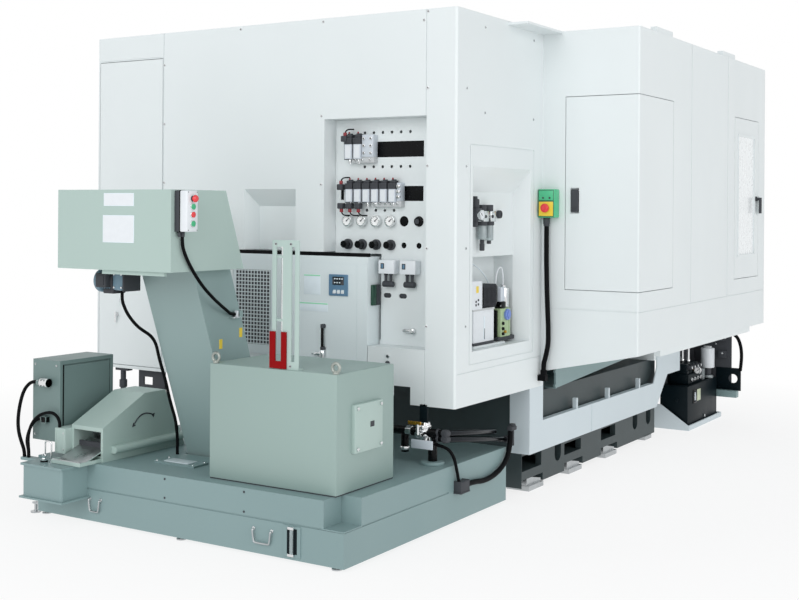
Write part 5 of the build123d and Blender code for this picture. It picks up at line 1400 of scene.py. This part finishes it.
@dataclass
class SeparatorDressing:
    """Bright chute, drive case, curved arrow, box knob and bail of the separator."""

    left: float = -1919.0
    right: float = -1678.0
    front: float = -966.0

    def arrow(self) -> list[Work]:
        """Flat curved arrow on the side plate, which shows the turn of the drum."""
        x = self.right + 1.2
        tips = []
        for y, z, turn in ((-730, 504, 130), (-572, 541, -50)):
            tip = bar((x - 1, y, z), (x + 2.4, y, z), 15, BLACK, 3)
            tips.append(tip.turned(turn, RIGHT, (x, y, z)))
        return [wire_piece((
            (x, -722, 512), (x, -700, 538), (x, -664, 556), (x, -622, 560), (x, -586, 548),
        ), 4, BLACK)] + tips

    def build(self) -> None:
        """Build the pieces on the cover, the drive case and the box."""
        x0, x1, y = self.left + 18, self.right - 18, self.front
        slope = 84 / 236
        chute = block((x0, y - 118, 344.5), (x1, -852, 346.5), STEEL, 0.5)
        chute.obj.data.transform(shear_along_slope(at(x0, y - 118, 344.5), slope))
        gather("separator_chute", [
            chute,
            block((self.left + 12, y - 158, 346), (self.right - 12, y - 150, 356), STEEL, 2),
            block((self.left + 13, -926, 352), (self.right - 13, -918, 428), BLACK),
        ], "steel")
        bolt = bar((-1930, y - 51, 384), (-1930, y - 55, 384), 5, NICKEL, 6, 1)
        gather("drive_case", [
            block((-2001.2, y - 51.4, 359), (-1946, y + 181.2, 501), GREY_GREEN, 4)
            .inset(REAR, 9, -2),
            block((-1947, y - 51.2, 359), (-1918, y + 181, 501.2), GREY_GREEN, 3),
            bolt,
            bolt.copy(0, 0, 90),
        ], "black_plastic")
        gather("turn_arrow", self.arrow(), "black_plastic")
        gather("box_fittings", [
            wire_piece((
                (-2030, -1060, 326), (-2030, -1060, 408), (-2028, -1060, 426), (-2016, -1060, 430),
                (-1994, -1060, 430), (-1982, -1060, 426), (-1980, -1060, 408), (-1980, -1060, 326),
            ), 4.8, NICKEL),
            bar((-1960, -1130, 330), (-1960, -1130, 343.5), 20.6, GLOSS_BLACK, 32, 3),
            bar((-1960, -1130, 343), (-1960, -1130, 354), 13, NICKEL, 6, 1.5),
            ring((-1960, -1130, 366), REAR, 10, 3.4, NICKEL),
        ], "nickel")


def shear_along_slope(foot: Vector, slope: float) -> Matrix:
    """Matrix that lifts a flat sheet with its distance along Y from a foot point."""
    tilt = Matrix.Identity(4)
    tilt[2][1] = slope
    return Matrix.Translation(foot) @ tilt @ Matrix.Translation(-foot)


@dataclass
class JunctionDressing:
    """Seal and lid screws of the electrical box, and its bright elbow glands."""

    right: float = -2005.0
    back: float = -979.0
    low: float = 410.0
    high: float = 868.0

    def build(self) -> None:
        """Build the seal of the lid, the glands and the screws."""
        x = self.right
        y0, z0, z1 = self.back + 22, self.low + 22, self.high - 22
        seal = [block((x - 10, y0, z0), (x + 1.2, y0 + 10, z1), RUBBER, 1.5)]
        gather("box_seal", seal, "rubber_black")
        works = [
            block((-2113, -1026, 721), (-2071, -978, 765), NICKEL, 7)
            .inset(REAR, 8, -1),
        ]
        for x0, x1, r, z in ((-2122, -2064, 26.8, 743), (-2151, -2121, 20.8, 743)):
            works.append(bar((x0, -1005, z), (x1, -1005, z), r, NICKEL, 6 if r < 25 else 32, 2.5))
        works.append(bar((-2128, -1005, 743), (-2121, -1005, 743), 23.6, GLOSS_BLACK, 32, 1.5))
        screw = bar((-2104, -1026, 757), (-2104, -1029, 757), 3.6, BLACK, 12)
        works += [screw, screw.copy(24), screw.copy(0, 0, -28), screw.copy(24, 0, -28)]
        gather("junction_glands", works + [
            block((-2123, -1012, 513), (-2081, -978, 553), GLOSS_BLACK, 7),
            bar((-2130, -995, 533), (-2121, -995, 533), 15, NICKEL, 6, 1.5),
        ], "nickel")
        bolt = bar((-2200, self.back, 440), (-2200, self.back - 4, 440), 6, NICKEL, 14, 1)
        bolt.step(REAR, 1.8, -1.5, BLACK)
        works = [bolt.copy(dx, 0, dz) for dx in (0, 170) for dz in (0, 400)]
        bpy.data.objects.remove(bolt.obj)
        gather("junction_screws", works, "nickel")


# Under the enclosures
@dataclass
class HydraulicUnit:
    """Dark tank on its light tray, with sight glass, valves, filter can, gauge and bracket plate."""

    left: float = -150.0
    right: float = 78.0
    near: float = 3631.0
    far: float = 4376.0
    top: float = 341.0
    pitch: float = 74.0

    def tank(self) -> list[Work]:
        """Tray, tank, lid rim, sight plate, data plate and drain plug."""
        x0, x1, y0, y1 = self.left, self.right, self.near, self.far
        caps = [bar((x1 + 7, 3790, z - 7), (x1 + 7, 3790, z + 7), 11, BLACK, 6, 1.5) for z in (212, 290)]
        return [
            block((x0 - 40, y0 - 22, 0), (x1 + 22, y1 + 60, 40), SHADE_GREYED_WHITE, 2)
            .inset(TOP, 9, -26),
            block((x0, y0, 12), (x1, y1, self.top), UNIT_DARK, 5).inset(TOP, 14, -5),
            bar((-10, y0 - 9, 232), (-10, y0, 232), 13, UNIT_DARK, 6, 1.5),
            bar((x1, 4040, 62), (x1 + 9, 4040, 62), 13, STEEL, 6, 1.5),
            block((x1, 3756, 196), (x1 + 6, 3842, 304), GLOSS_BLACK, 2),
            bar((x1 + 7, 3790, 214), (x1 + 7, 3790, 288), 8, PALE_PLASTIC, 16, 1.5),
            block((x1, 3862, 204), (x1 + 2, 3948, 296), PALE_LIME, 1),
        ] + caps

    def valve(self) -> list[Work]:
        """One stacked valve with its sandwich plates, coils, plug and end caps."""
        y = self.near + 149
        return [
            block((-102, y, 420), (22, y + 60, 446), UNIT_DARK, 2),
            block((-96, y + 3, 446), (16, y + 57, 500), UNIT_DARK, 3),
            block((-150, y + 8, 450), (-98, y + 52, 498), BLACK, 5),
            bar((-164, y + 30, 474), (-148, y + 30, 474), 15, NICKEL, 24, 2),
            bar((14, y + 30, 474), (50, y + 30, 474), 17, BLACK, 24, 2.5),
            bar((48, y + 30, 474), (58, y + 30, 474), 12, NICKEL, 6, 1.5),
            block((-138, y + 14, 498), (-108, y + 46, 530), GREY_PLASTIC, 3),
        ]

    def manifold(self) -> list[Work]:
        """Manifold block with its four stacked valves and the port unions."""
        works = [
            block((-120, self.near + 129, self.top), (40, self.near + 449, 420), UNIT_DARK, 3),
        ] + self.valve()
        works += [work.copy(0, self.pitch * i) for i in range(1, 4) for work in works[1:8]]
        union = bar((40, self.near + 179, 380), (58, self.near + 179, 380), 15, NICKEL, 6, 2)
        union.step(RIGHT, 4, 12)
        return works + [union] + [union.copy(0, self.pitch * i) for i in range(1, 4)]

    def filter_can(self) -> list[Work]:
        """White filter can with a rounded foot, its head and the drain cock."""
        return [
            bar((28, 4285, 426), (28, 4285, 590), 56, WHITE_PLASTIC, 44, 7),
            bar((28, 4285, 588), (28, 4285, 606), 34, GREY_PLASTIC, 32, 4),
            bar((28, 4285, 362), (28, 4285, 428), 30, BLACK, 28, 3),
            bar((28, 4285, self.top), (28, 4285, 364), 46, IRON, 36, 3),
        ]

    def gauge(self) -> list[Work]:
        """Pressure gauge on its stem, with tick marks and a hand."""
        x, y, z = 60, self.near + 295, 442
        works = [
            bar((x, y + 22, z), (x, y - 8, z), 30, NICKEL, 40, 2)
            .step(REAR, 4, -4, DIAL_WHITE),
            block((x - 1.4, y - 6.5, z - 5), (x + 1.4, y - 5, z + 18), BLACK, 0.4)
            .turned(-62, REAR, (x, y, z)),
            bar((10, y + 14, z), (x, y + 14, z), 8, BRASS, 6, 1),
        ]
        tick = block((x - 0.9, y - 5.4, z + 17), (x + 0.9, y - 4.4, z + 23), BLACK)
        works += [tick.copy().turned(-135 + 27 * i, REAR, (x, y, z)) for i in range(11)]
        bpy.data.objects.remove(tick.obj)
        return works

    def motor(self) -> list[Work]:
        """Ribbed motor with its foot and terminal box behind the valves."""
        rib = ring((-100, 4200, 400), FRONT, 46, 3, UNIT_DARK)
        return [
            bar((-100, 4180, 400), (-100, 4376, 400), 46, UNIT_DARK, 36, 3),
            block((-150, 4200, self.top), (-60, 4376, 366), UNIT_DARK, 2),
            block((-120, 4120, self.top), (40, 4180, 430), IRON, 4),
            rib,
        ] + [rib.copy(0, 22 * i) for i in range(1, 8)]

    def bracket(self) -> list[Work]:
        """Bracket plate on its ledge, the wiring boxes, two black back plates as painted shade under the
        enclosure, and the splash plate.
        """
        boxes = [block((x, 4396, z), (x + 70, 4426, z + 62), BLACK, 4)
                 for x, z in ((-40, 600), (60, 640), (80, 500))]
        eye = bar((20, 4414, 520), (20, 4402, 520), 9, NICKEL, 16, 1.5)
        boxes += [eye] + [eye.copy(dx, -8, dz) for dx, dz in ((70, 150), (96, 20), (40, 96), (120, 150))]
        splash = block((-190, 3603, 0), (100, 3610, 191), SHADE_GREYED_WHITE)
        wedge = block((-240, 3590, 47), (140, 3620, 400), SHADE_GREYED_WHITE)
        splash.cut(wedge.turned(33.7, FRONT, (84, 3606, 47)))
        return [
            block((58, 4420, 230), (266, 4436, 419), UNIT_DARK, 1)
            .cut(bar((202, 4400, 330), (202, 4460, 330), 38, UNIT_DARK, 44)),
            block((58, 4370, 177), (246, 4436, 233), TANK_PAINT, 1.5),
            # Black sheet along the back of the unit: painted shade under the enclosure.
            block((-150, 3560, 335), (-138, 4436, 744), BLACK, 1),
            splash,
            # Black sheet at the far end behind the bracket plate: painted shade under the enclosure.
            block((-138, 4424, 230), (187, 4436, 744), BLACK, 1),
        ] + boxes

    def pipes(self) -> list[Work]:
        """Steel pipes up to the enclosure and the formed return hose."""
        works = []
        for x in (-80, -30):
            works.append(bar((x, 3960, 500), (x, 3960, 744), 11, NICKEL, 20))
            works.append(bar((x, 3960, 498), (x, 3960, 522), 17, NICKEL, 6, 2))
        works.append(wire_piece((
            (120, 4410, 716), (180, 4410, 716), (238, 4410, 690), (268, 4412, 620),
            (276, 4416, 540), (272, 4420, 470), (262, 4426, 400),
        ), 14, RUBBER))
        return works

    def build(self) -> None:
        """Build the unit in one piece for each group."""
        gather("hydraulic_tank", self.tank(), "dark_metal", "hydraulic_unit")
        gather("hydraulic_valves", self.manifold() + self.gauge(), "iron")
        gather("hydraulic_pump", self.motor() + self.filter_can(), "dark_metal")
        gather("hydraulic_bracket", self.bracket() + self.pipes(), "dark_metal")


@dataclass
class CoolantValves:
    """Supply pipes, stop valves and the pump foot in the gap under the enclosure."""

    pipe_x: float = -70.0
    pipe_end: float = 700.0
    tank_top: float = 330.0

    def pipes(self) -> list[Work]:
        """Two glossy pipes with their elbows, couplings and the end bracket."""
        works = []
        for z, end in ((508, (-58, self.pipe_end - 120, 436)), (475, (-46, self.pipe_end, 372))):
            works.append(bar((self.pipe_x, 20, z), end, 17, PIPE_STEEL, 32, 3))
            works.append(bar((self.pipe_x, 2, z + 2), (self.pipe_x, 46, z - 4), 21, BLACK, 32, 4))
            works.append(bar((-150, 20, z), (self.pipe_x, 20, z), 17, GLOSS_BLACK, 32))
            works.append(bar((-122, 20, z), (-108, 20, z), 22, BLACK, 8, 3))
        works.append(bar((-46, self.pipe_end - 8, 374), (-46, self.pipe_end + 34, 368), 22, BLACK, 32, 4))
        works.append(bar((-22, 742, 332), (-22, 742, 440), 12, BLACK, 24, 2))
        works.append(bar((-22, 742, 430), (-22, 742, 462), 20, BLACK, 24, 5))
        works.append(block((-32, 684, 426), (6, 752, 452), BLACK, 7))
        works.append(wire_piece((
            (-132, 20, 440), (-60, 20, 432), (-24, 30, 390), (-14, 48, 320), (-13, 74, 236),
        ), 9, RUBBER))
        return works

    def stop_valve(self) -> list[Work]:
        """Bright valve body with union nuts, brass union and its lever."""
        return [
            bar((-200, 20, 440), (-200, 20, 560), 30, NICKEL, 36, 6),
            bar((-200, 20, 474), (-200, 20, 494), 35, NICKEL, 6, 3),
            bar((-200, 20, 522), (-200, 20, 542), 35, NICKEL, 6, 3),
            bar((-420, 20, 500), (-120, 20, 500), 24, GLOSS_BLACK, 32, 3),
            bar((-318, 20, 500), (-282, 20, 500), 30, NICKEL, 6, 3),
            bar((-200, -60, 500), (-200, 20, 500), 20, NICKEL, 28, 3),
            bar((-200, -60, 500), (-200, -60, 556), 10, NICKEL, 20),
            block((-262, -66, 552), (-178, -56, 572), BRASS, 3),
        ]

    def drops(self) -> list[Work]:
        """Drop pipe, pump foot on the tank, hanger and the data plate."""
        return [
            bar((-330, 20, 380), (-330, 20, 500), 22, GLOSS_BLACK, 28, 3),
            bar((-330, 20, 392), (-330, 20, 412), 27, NICKEL, 6, 2.5),
            bar((-150, 20, self.tank_top), (-150, 20, 440), 26, GLOSS_BLACK, 32, 4),
            bar((-150, 20, self.tank_top), (-150, 20, 348), 66, TANK_PAINT, 40, 4),
            bar((-150, 20, 440), (-130, 20, 440), 26, GLOSS_BLACK, 32, 4),
            block((-225, 0, 540), (-175, 12, 660), UNIT_DARK, 2),
            block((-230, -80, 428), (-95, -72, 476), PALE_PLASTIC, 1.5),
            bar((-160, -72, 438), (-160, 20, 438), 8, NICKEL, 20),
        ]

    def build(self) -> None:
        """Build the pipes and valves as one piece."""
        works = self.pipes() + self.stop_valve() + self.drops()
        gather("coolant_pipes", works, "black_plastic", "coolant_valves")


@dataclass
class RearSupports:
    """Jack bolt and black frame under the far left of the rear face."""

    floor: float = 690.0

    def build(self) -> None:
        """Build the jack under its plate and the frame with its window."""
        gather("rear_supports", [
            block((-2570, 20, self.floor - 20), (-2460, 66, self.floor + 2), BLACK, 2),
            bar((-2517, 40, 539), (-2517, 40, self.floor - 10), 18, BLACK, 20, 3),
            bar((-2517, 40, 560), (-2517, 40, 610), 27, BLACK, 6, 3),
            block((-2395, 55, 552), (-2168, 67, self.floor + 2), BLACK, 2)
            .cut(block((-2350, 40, 589), (-2273, 80, 640), BLACK)),
        ], "black_plastic")


# Operator front
@dataclass
class OperatorConsole:
    """Swivel console on the front with its screen, key fields, dial and stop button."""

    left: float = -2640.0
    right: float = -2220.0
    back: float = 4500.0
    deep: float = 150.0

    def keys(self) -> list[Work]:
        """Key field under the screen."""
        y = self.back + self.deep
        key = block((-2590, y - 1, 1210), (-2556, y + 6, 1244), PALE_PLASTIC, 2.5)
        key.inset(FRONT, 5, -0.8)
        works = [key.copy(54 * i, 0, 62 * j) for j in range(4) for i in range(6) if i + j]
        return [key] + works

    def build(self) -> None:
        """Build the housing with its screen, keys, override dial and stop button."""
        y = self.back + self.deep
        works = [
            block((self.left, self.back, 1050), (self.right, y, 1960), SHADE_GREYED_WHITE).soften(14, 3),
            block((-2606, y - 4, 1554), (-2254, y + 4, 1906), BLACK, 3)
            .inset(FRONT, 14, -3, SCREEN),
            block((-2606, y - 1, 1192), (-2254, y + 1.4, 1468), GREY_PLASTIC, 1),
            bar((-2280, y, 1120), (-2280, y + 22, 1120), 28, BLACK, 36, 3)
            .step(FRONT, 7, 10, None, 0.92),
            bar((-2420, y, 1120), (-2420, y + 18, 1120), 14, BLACK, 28, 1),
            bar((-2420, y + 16, 1120), (-2420, y + 34, 1120), 21, RED, 36, 5),
            bar((-2560, y, 1120), (-2560, y + 12, 1120), 30, GREY_PLASTIC, 36, 3),
        ] + self.keys()
        gather("console_dressed", works, "trim_white", "operator_console")


@dataclass
class OperatorDoorTrim:
    """Window of the sliding front door, with its gasket and grip."""

    face: float = 4544.0

    def build(self) -> None:
        """Build the pane, the gasket round it and the grip."""
        y = self.face - 14
        gather("front_window", [block((-1960, y, 1350), (-1040, y + 4, 2100), CLEAR)], "pane",
            body="operator_door")
        rubber = [
            block((-1960, y, 1350), (-1040, y + 9, 1366), RUBBER, 2),
            block((-1960, y, 2084), (-1040, y + 9, 2100), RUBBER, 2),
            block((-1960, y, 1350), (-1944, y + 9, 2100), RUBBER, 2),
            block((-1056, y, 1350), (-1040, y + 9, 2100), RUBBER, 2),
        ]
        gather("front_gasket", rubber, "rubber_black", body="operator_door")
        gather("front_grip", [
            bar((-960, self.face + 40, 1330), (-960, self.face + 40, 1670), 16.5, BLACK, 28, 4),
        ], "black_plastic", body="operator_door")


@dataclass
class PanelLocks:
    """Lock and knob of the lower rear panel."""

    def build(self) -> None:
        """Build the bright lock and the black knob of the rear panel."""
        gather("panel_locks", [
            bar((-434, 0, 910), (-434, -7, 910), 11, NICKEL, 24, 1.5)
            .step(REAR, 3.5, -2, BLACK),
            bar((-434, 0, 871), (-434, -12, 871), 13, BLACK, 24, 3),
        ], "nickel")


# Cords
@dataclass(frozen=True)
class Route:
    """One free cord: its route in the machine's millimetres and its facts."""

    name: str
    node: str
    points: Sequence[Point]
    length: float
    diameter: float
    stiffness: str
    lay: str


ROUTES = (
    Route("pendant_lead", "pendant_cable", (
        (-984, -1105, 1590), (-984, -1105, 1548), (-984, -1085, 1500), (-986, -1043, 1440),
        (-992, -987, 1380), (-1002, -919, 1322), (-1018, -835, 1268), (-1038, -745, 1220),
        (-1060, -665, 1184), (-1080, -596, 1152), (-1080, -540, 1152),
    ), 0.768, 0.018, "medium", "hanging"),
    Route("tank_hose", "coolant_hose", (
        (-13, 700, 428), (-13, 700, 352), (-13, 664, 276), (-13, 592, 226),
        (-13, 480, 196), (-13, 360, 190), (-13, 250, 208), (-13, 150, 208),
    ), 0.691, 0.030, "stiff", "hanging"),
    Route("upper_conduit", "conduit_upper", (
        (-2150, -1005, 743), (-2186, -1005, 743), (-2218, -1008, 731), (-2244, -1015, 704),
        (-2258, -1025, 666), (-2268, -1037, 600), (-2270, -1047, 520), (-2258, -1051, 455),
        (-2238, -1048, 400), (-2216, -1044, 352), (-2216, -1044, 318),
    ), 0.508, 0.020, "stiff", "hanging"),
    Route("lower_conduit", "conduit_lower", (
        (-1980, -1000, 500), (-1980, -1000, 524), (-1988, -1001, 546), (-2003, -1003, 564),
        (-2024, -1006, 576), (-2048, -1010, 580), (-2087, -1017, 573), (-2129, -1025, 554),
        (-2161, -1033, 521), (-2182, -1039, 476), (-2189, -1043, 427), (-2185, -1044, 380),
        (-2180, -1044, 350), (-2180, -1044, 318),
    ), 0.460, 0.018, "stiff", "hanging"),
    Route("middle_conduit", "conduit_lower", (
        (-2122, -995, 533), (-2148, -995, 533), (-2172, -998, 524), (-2193, -1002, 506),
        (-2210, -1008, 479), (-2222, -1015, 441), (-2224, -1022, 398), (-2203, -1026, 352),
        (-2203, -1026, 318),
    ), 0.279, 0.018, "stiff", "hanging"),
)


def free_cord(route: Route) -> None:
    """Args:
        route: Its route and facts.
    """
    curve = bpy.data.curves.new(route.name, "CURVE")
    curve.dimensions = "3D"
    curve.bevel_depth = route.diameter / 2
    curve.bevel_resolution = 5
    curve.resolution_u = 10
    curve.use_fill_caps = True
    line = curve.splines.new("NURBS")
    line.points.add(len(route.points) - 1)
    for point, place in zip(line.points, route.points):
        point.co = (*at(*place), 1.0)
    line.order_u = 3
    line.use_endpoint_u = True
    curve.materials.append(RUBBER.material())
    piece = bpy.data.objects.new(route.name, curve)
    bpy.context.scene.collection.objects.link(piece)
    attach(piece, MACHINE)
    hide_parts(route.node)
    tuple(at(*route.points[0]))


# Studio
def dress_frame() -> None:
    """Give each CAD node that stays in sight its finish."""
    for finish, names in FINISH_NODES.items():
        for name in names.split():
            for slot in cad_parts[name].material_slots:
                slot.link = "OBJECT"
                slot.material = finish.material()


class Studio:
    """Pale floor, white surroundings, soft lamps and the photograph's camera."""

    LENS = 55.32
    SHIFT_Y = -0.1141
    EYE = (4.405, -7.579, 1.741)
    HEADING = 31.92
    ROLL = 0.387
    SENSOR = 36.0
    FAR_CLIP = 200.0
    FLOOR_R = 40.0
    FLOOR_Z = -0.002
    FLOOR_TONE = (0.97, 0.97, 0.97, 1.0)
    FLOOR_ROUGHNESS = 0.8
    FLOOR_SHINE = 0.1
    FADE = (2.6, 5.2)
    FADE_START = 0.8
    SKY_TONE = (0.93, 0.97, 1.0, 1.0)
    SKY_STRENGTH = 0.5
    PLAIN_WHITE = (1.0, 1.0, 1.0, 1.0)
    AIM = (0.0, 0.0, 1.2)
    # Name, place in metres, edge in metres, watts
    LAMPS = (("key", (1.5, -13.5, 6.5), 8.0, 610.0), ("side", (13.0, -5.0, 4.5), 7.0, 430.0))

    def floor(self) -> None:
        """Lay the round floor, which turns to plain white far from the object."""
        bpy.ops.mesh.primitive_circle_add(
            vertices=96, radius=self.FLOOR_R, fill_type="NGON", location=(0, 0, self.FLOOR_Z))
        floor = bpy.context.object
        floor.name = "studio_floor"
        material = bpy.data.materials.new("studio_floor")
        material.use_nodes = True
        tree = material.node_tree
        shader = tree.nodes["Principled BSDF"]
        shader.inputs["Base Color"].default_value = self.FLOOR_TONE
        shader.inputs["Roughness"].default_value = self.FLOOR_ROUGHNESS
        shader.inputs["Specular IOR Level"].default_value = self.FLOOR_SHINE
        plain = add_node(tree, "Emission")
        reach = add_node(tree, "VectorMath", operation="LENGTH")
        fade = add_node(tree, "MapRange")
        fade.inputs["From Min"].default_value, fade.inputs["From Max"].default_value = self.FADE
        fade.inputs["To Min"].default_value = self.FADE_START
        mix = add_node(tree, "MixShader")
        tree.links.new(add_node(tree, "TexCoord").outputs["Object"], reach.inputs[0])
        tree.links.new(reach.outputs["Value"], fade.inputs["Value"])
        tree.links.new(fade.outputs["Result"], mix.inputs["Fac"])
        tree.links.new(shader.outputs["BSDF"], mix.inputs[1])
        tree.links.new(plain.outputs["Emission"], mix.inputs[2])
        tree.links.new(mix.outputs["Shader"], tree.nodes["Material Output"].inputs["Surface"])
        floor.data.materials.append(material)

    def surroundings(self) -> None:
        """White for the camera and for reflections, softer as a light."""
        world = bpy.data.worlds.new("studio")
        bpy.context.scene.world = world
        world.use_nodes = True
        tree = world.node_tree
        light = tree.nodes["Background"]
        light.inputs["Color"].default_value = self.SKY_TONE
        light.inputs["Strength"].default_value = self.SKY_STRENGTH
        white = add_node(tree, "Background")
        white.inputs["Color"].default_value = self.PLAIN_WHITE
        rays = add_node(tree, "LightPath").outputs
        seen = add_node(tree, "Math", operation="MAXIMUM")
        glass = add_node(tree, "Math", operation="MAXIMUM")
        mix = add_node(tree, "MixShader")
        tree.links.new(rays["Is Camera Ray"], seen.inputs[0])
        tree.links.new(rays["Is Glossy Ray"], seen.inputs[1])
        tree.links.new(seen.outputs["Value"], glass.inputs[0])
        tree.links.new(rays["Is Transmission Ray"], glass.inputs[1])
        tree.links.new(glass.outputs["Value"], mix.inputs["Fac"])
        tree.links.new(light.outputs["Background"], mix.inputs[1])
        tree.links.new(white.outputs["Background"], mix.inputs[2])
        tree.links.new(mix.outputs["Shader"], tree.nodes["World Output"].inputs["Surface"])

    def lamp(self, name: str, place: Point, size: float, power: float) -> None:
        """Hang one soft square lamp.

        Args:
            name: Name of the lamp.
            place: Its place in metres.
            size: Edge of its square in metres.
            power: Watts.
        """
        data = bpy.data.lights.new(name, "AREA")
        data.size = size
        data.energy = power
        lamp = bpy.data.objects.new(name, data)
        bpy.context.scene.collection.objects.link(lamp)
        lamp.location = place
        lamp.rotation_euler = (Vector(self.AIM) - Vector(place)).to_track_quat("-Z", "Y").to_euler()

    def camera(self) -> None:
        """Set the camera at the photograph's place."""
        data = bpy.data.cameras.new("photo_camera")
        data.lens = self.LENS
        data.sensor_width = self.SENSOR
        data.shift_y = self.SHIFT_Y
        data.clip_end = self.FAR_CLIP
        eye = bpy.data.objects.new("photo_camera", data)
        bpy.context.scene.collection.objects.link(eye)
        turn = Matrix.Rotation(radians(self.HEADING), 4, "Z") @ Matrix.Rotation(radians(90), 4, "X")
        turn = turn @ Matrix.Rotation(radians(self.ROLL), 4, "Z")
        eye.matrix_world = Matrix.Translation(self.EYE) @ turn
        bpy.context.scene.camera = eye

    def build(self) -> None:
        """Set up the whole studio."""
        bpy.context.scene.view_settings.view_transform = "Standard"
        self.floor()
        self.surroundings()
        for lamp in self.LAMPS:
            self.lamp(*lamp)
        self.camera()


ASSEMBLIES = (
    PanelScrews, ValveBanks, SlotPlates, Gauges, ChillerTrim, LevelGauge, LiftingEyes,
    AirUnit, LubricatorUnit, EmergencyStation, HeadDressing, GearMotor, PendantStation,
    TankDressing, PumpHousing, SeparatorDressing, JunctionDressing, HydraulicUnit,
    CoolantValves, RearSupports, OperatorConsole, OperatorDoorTrim, PanelLocks,
)


def main() -> None:
    """Dress the frame, build every piece and set up the studio."""
    logging.basicConfig(level=logging.INFO)
    dress_frame()
    for kind in ASSEMBLIES:
        kind().build()
    for route in ROUTES:
        free_cord(route)
    Studio().build()
    bpy.context.view_layer.update()


if __name__ == "__main__":
    main()
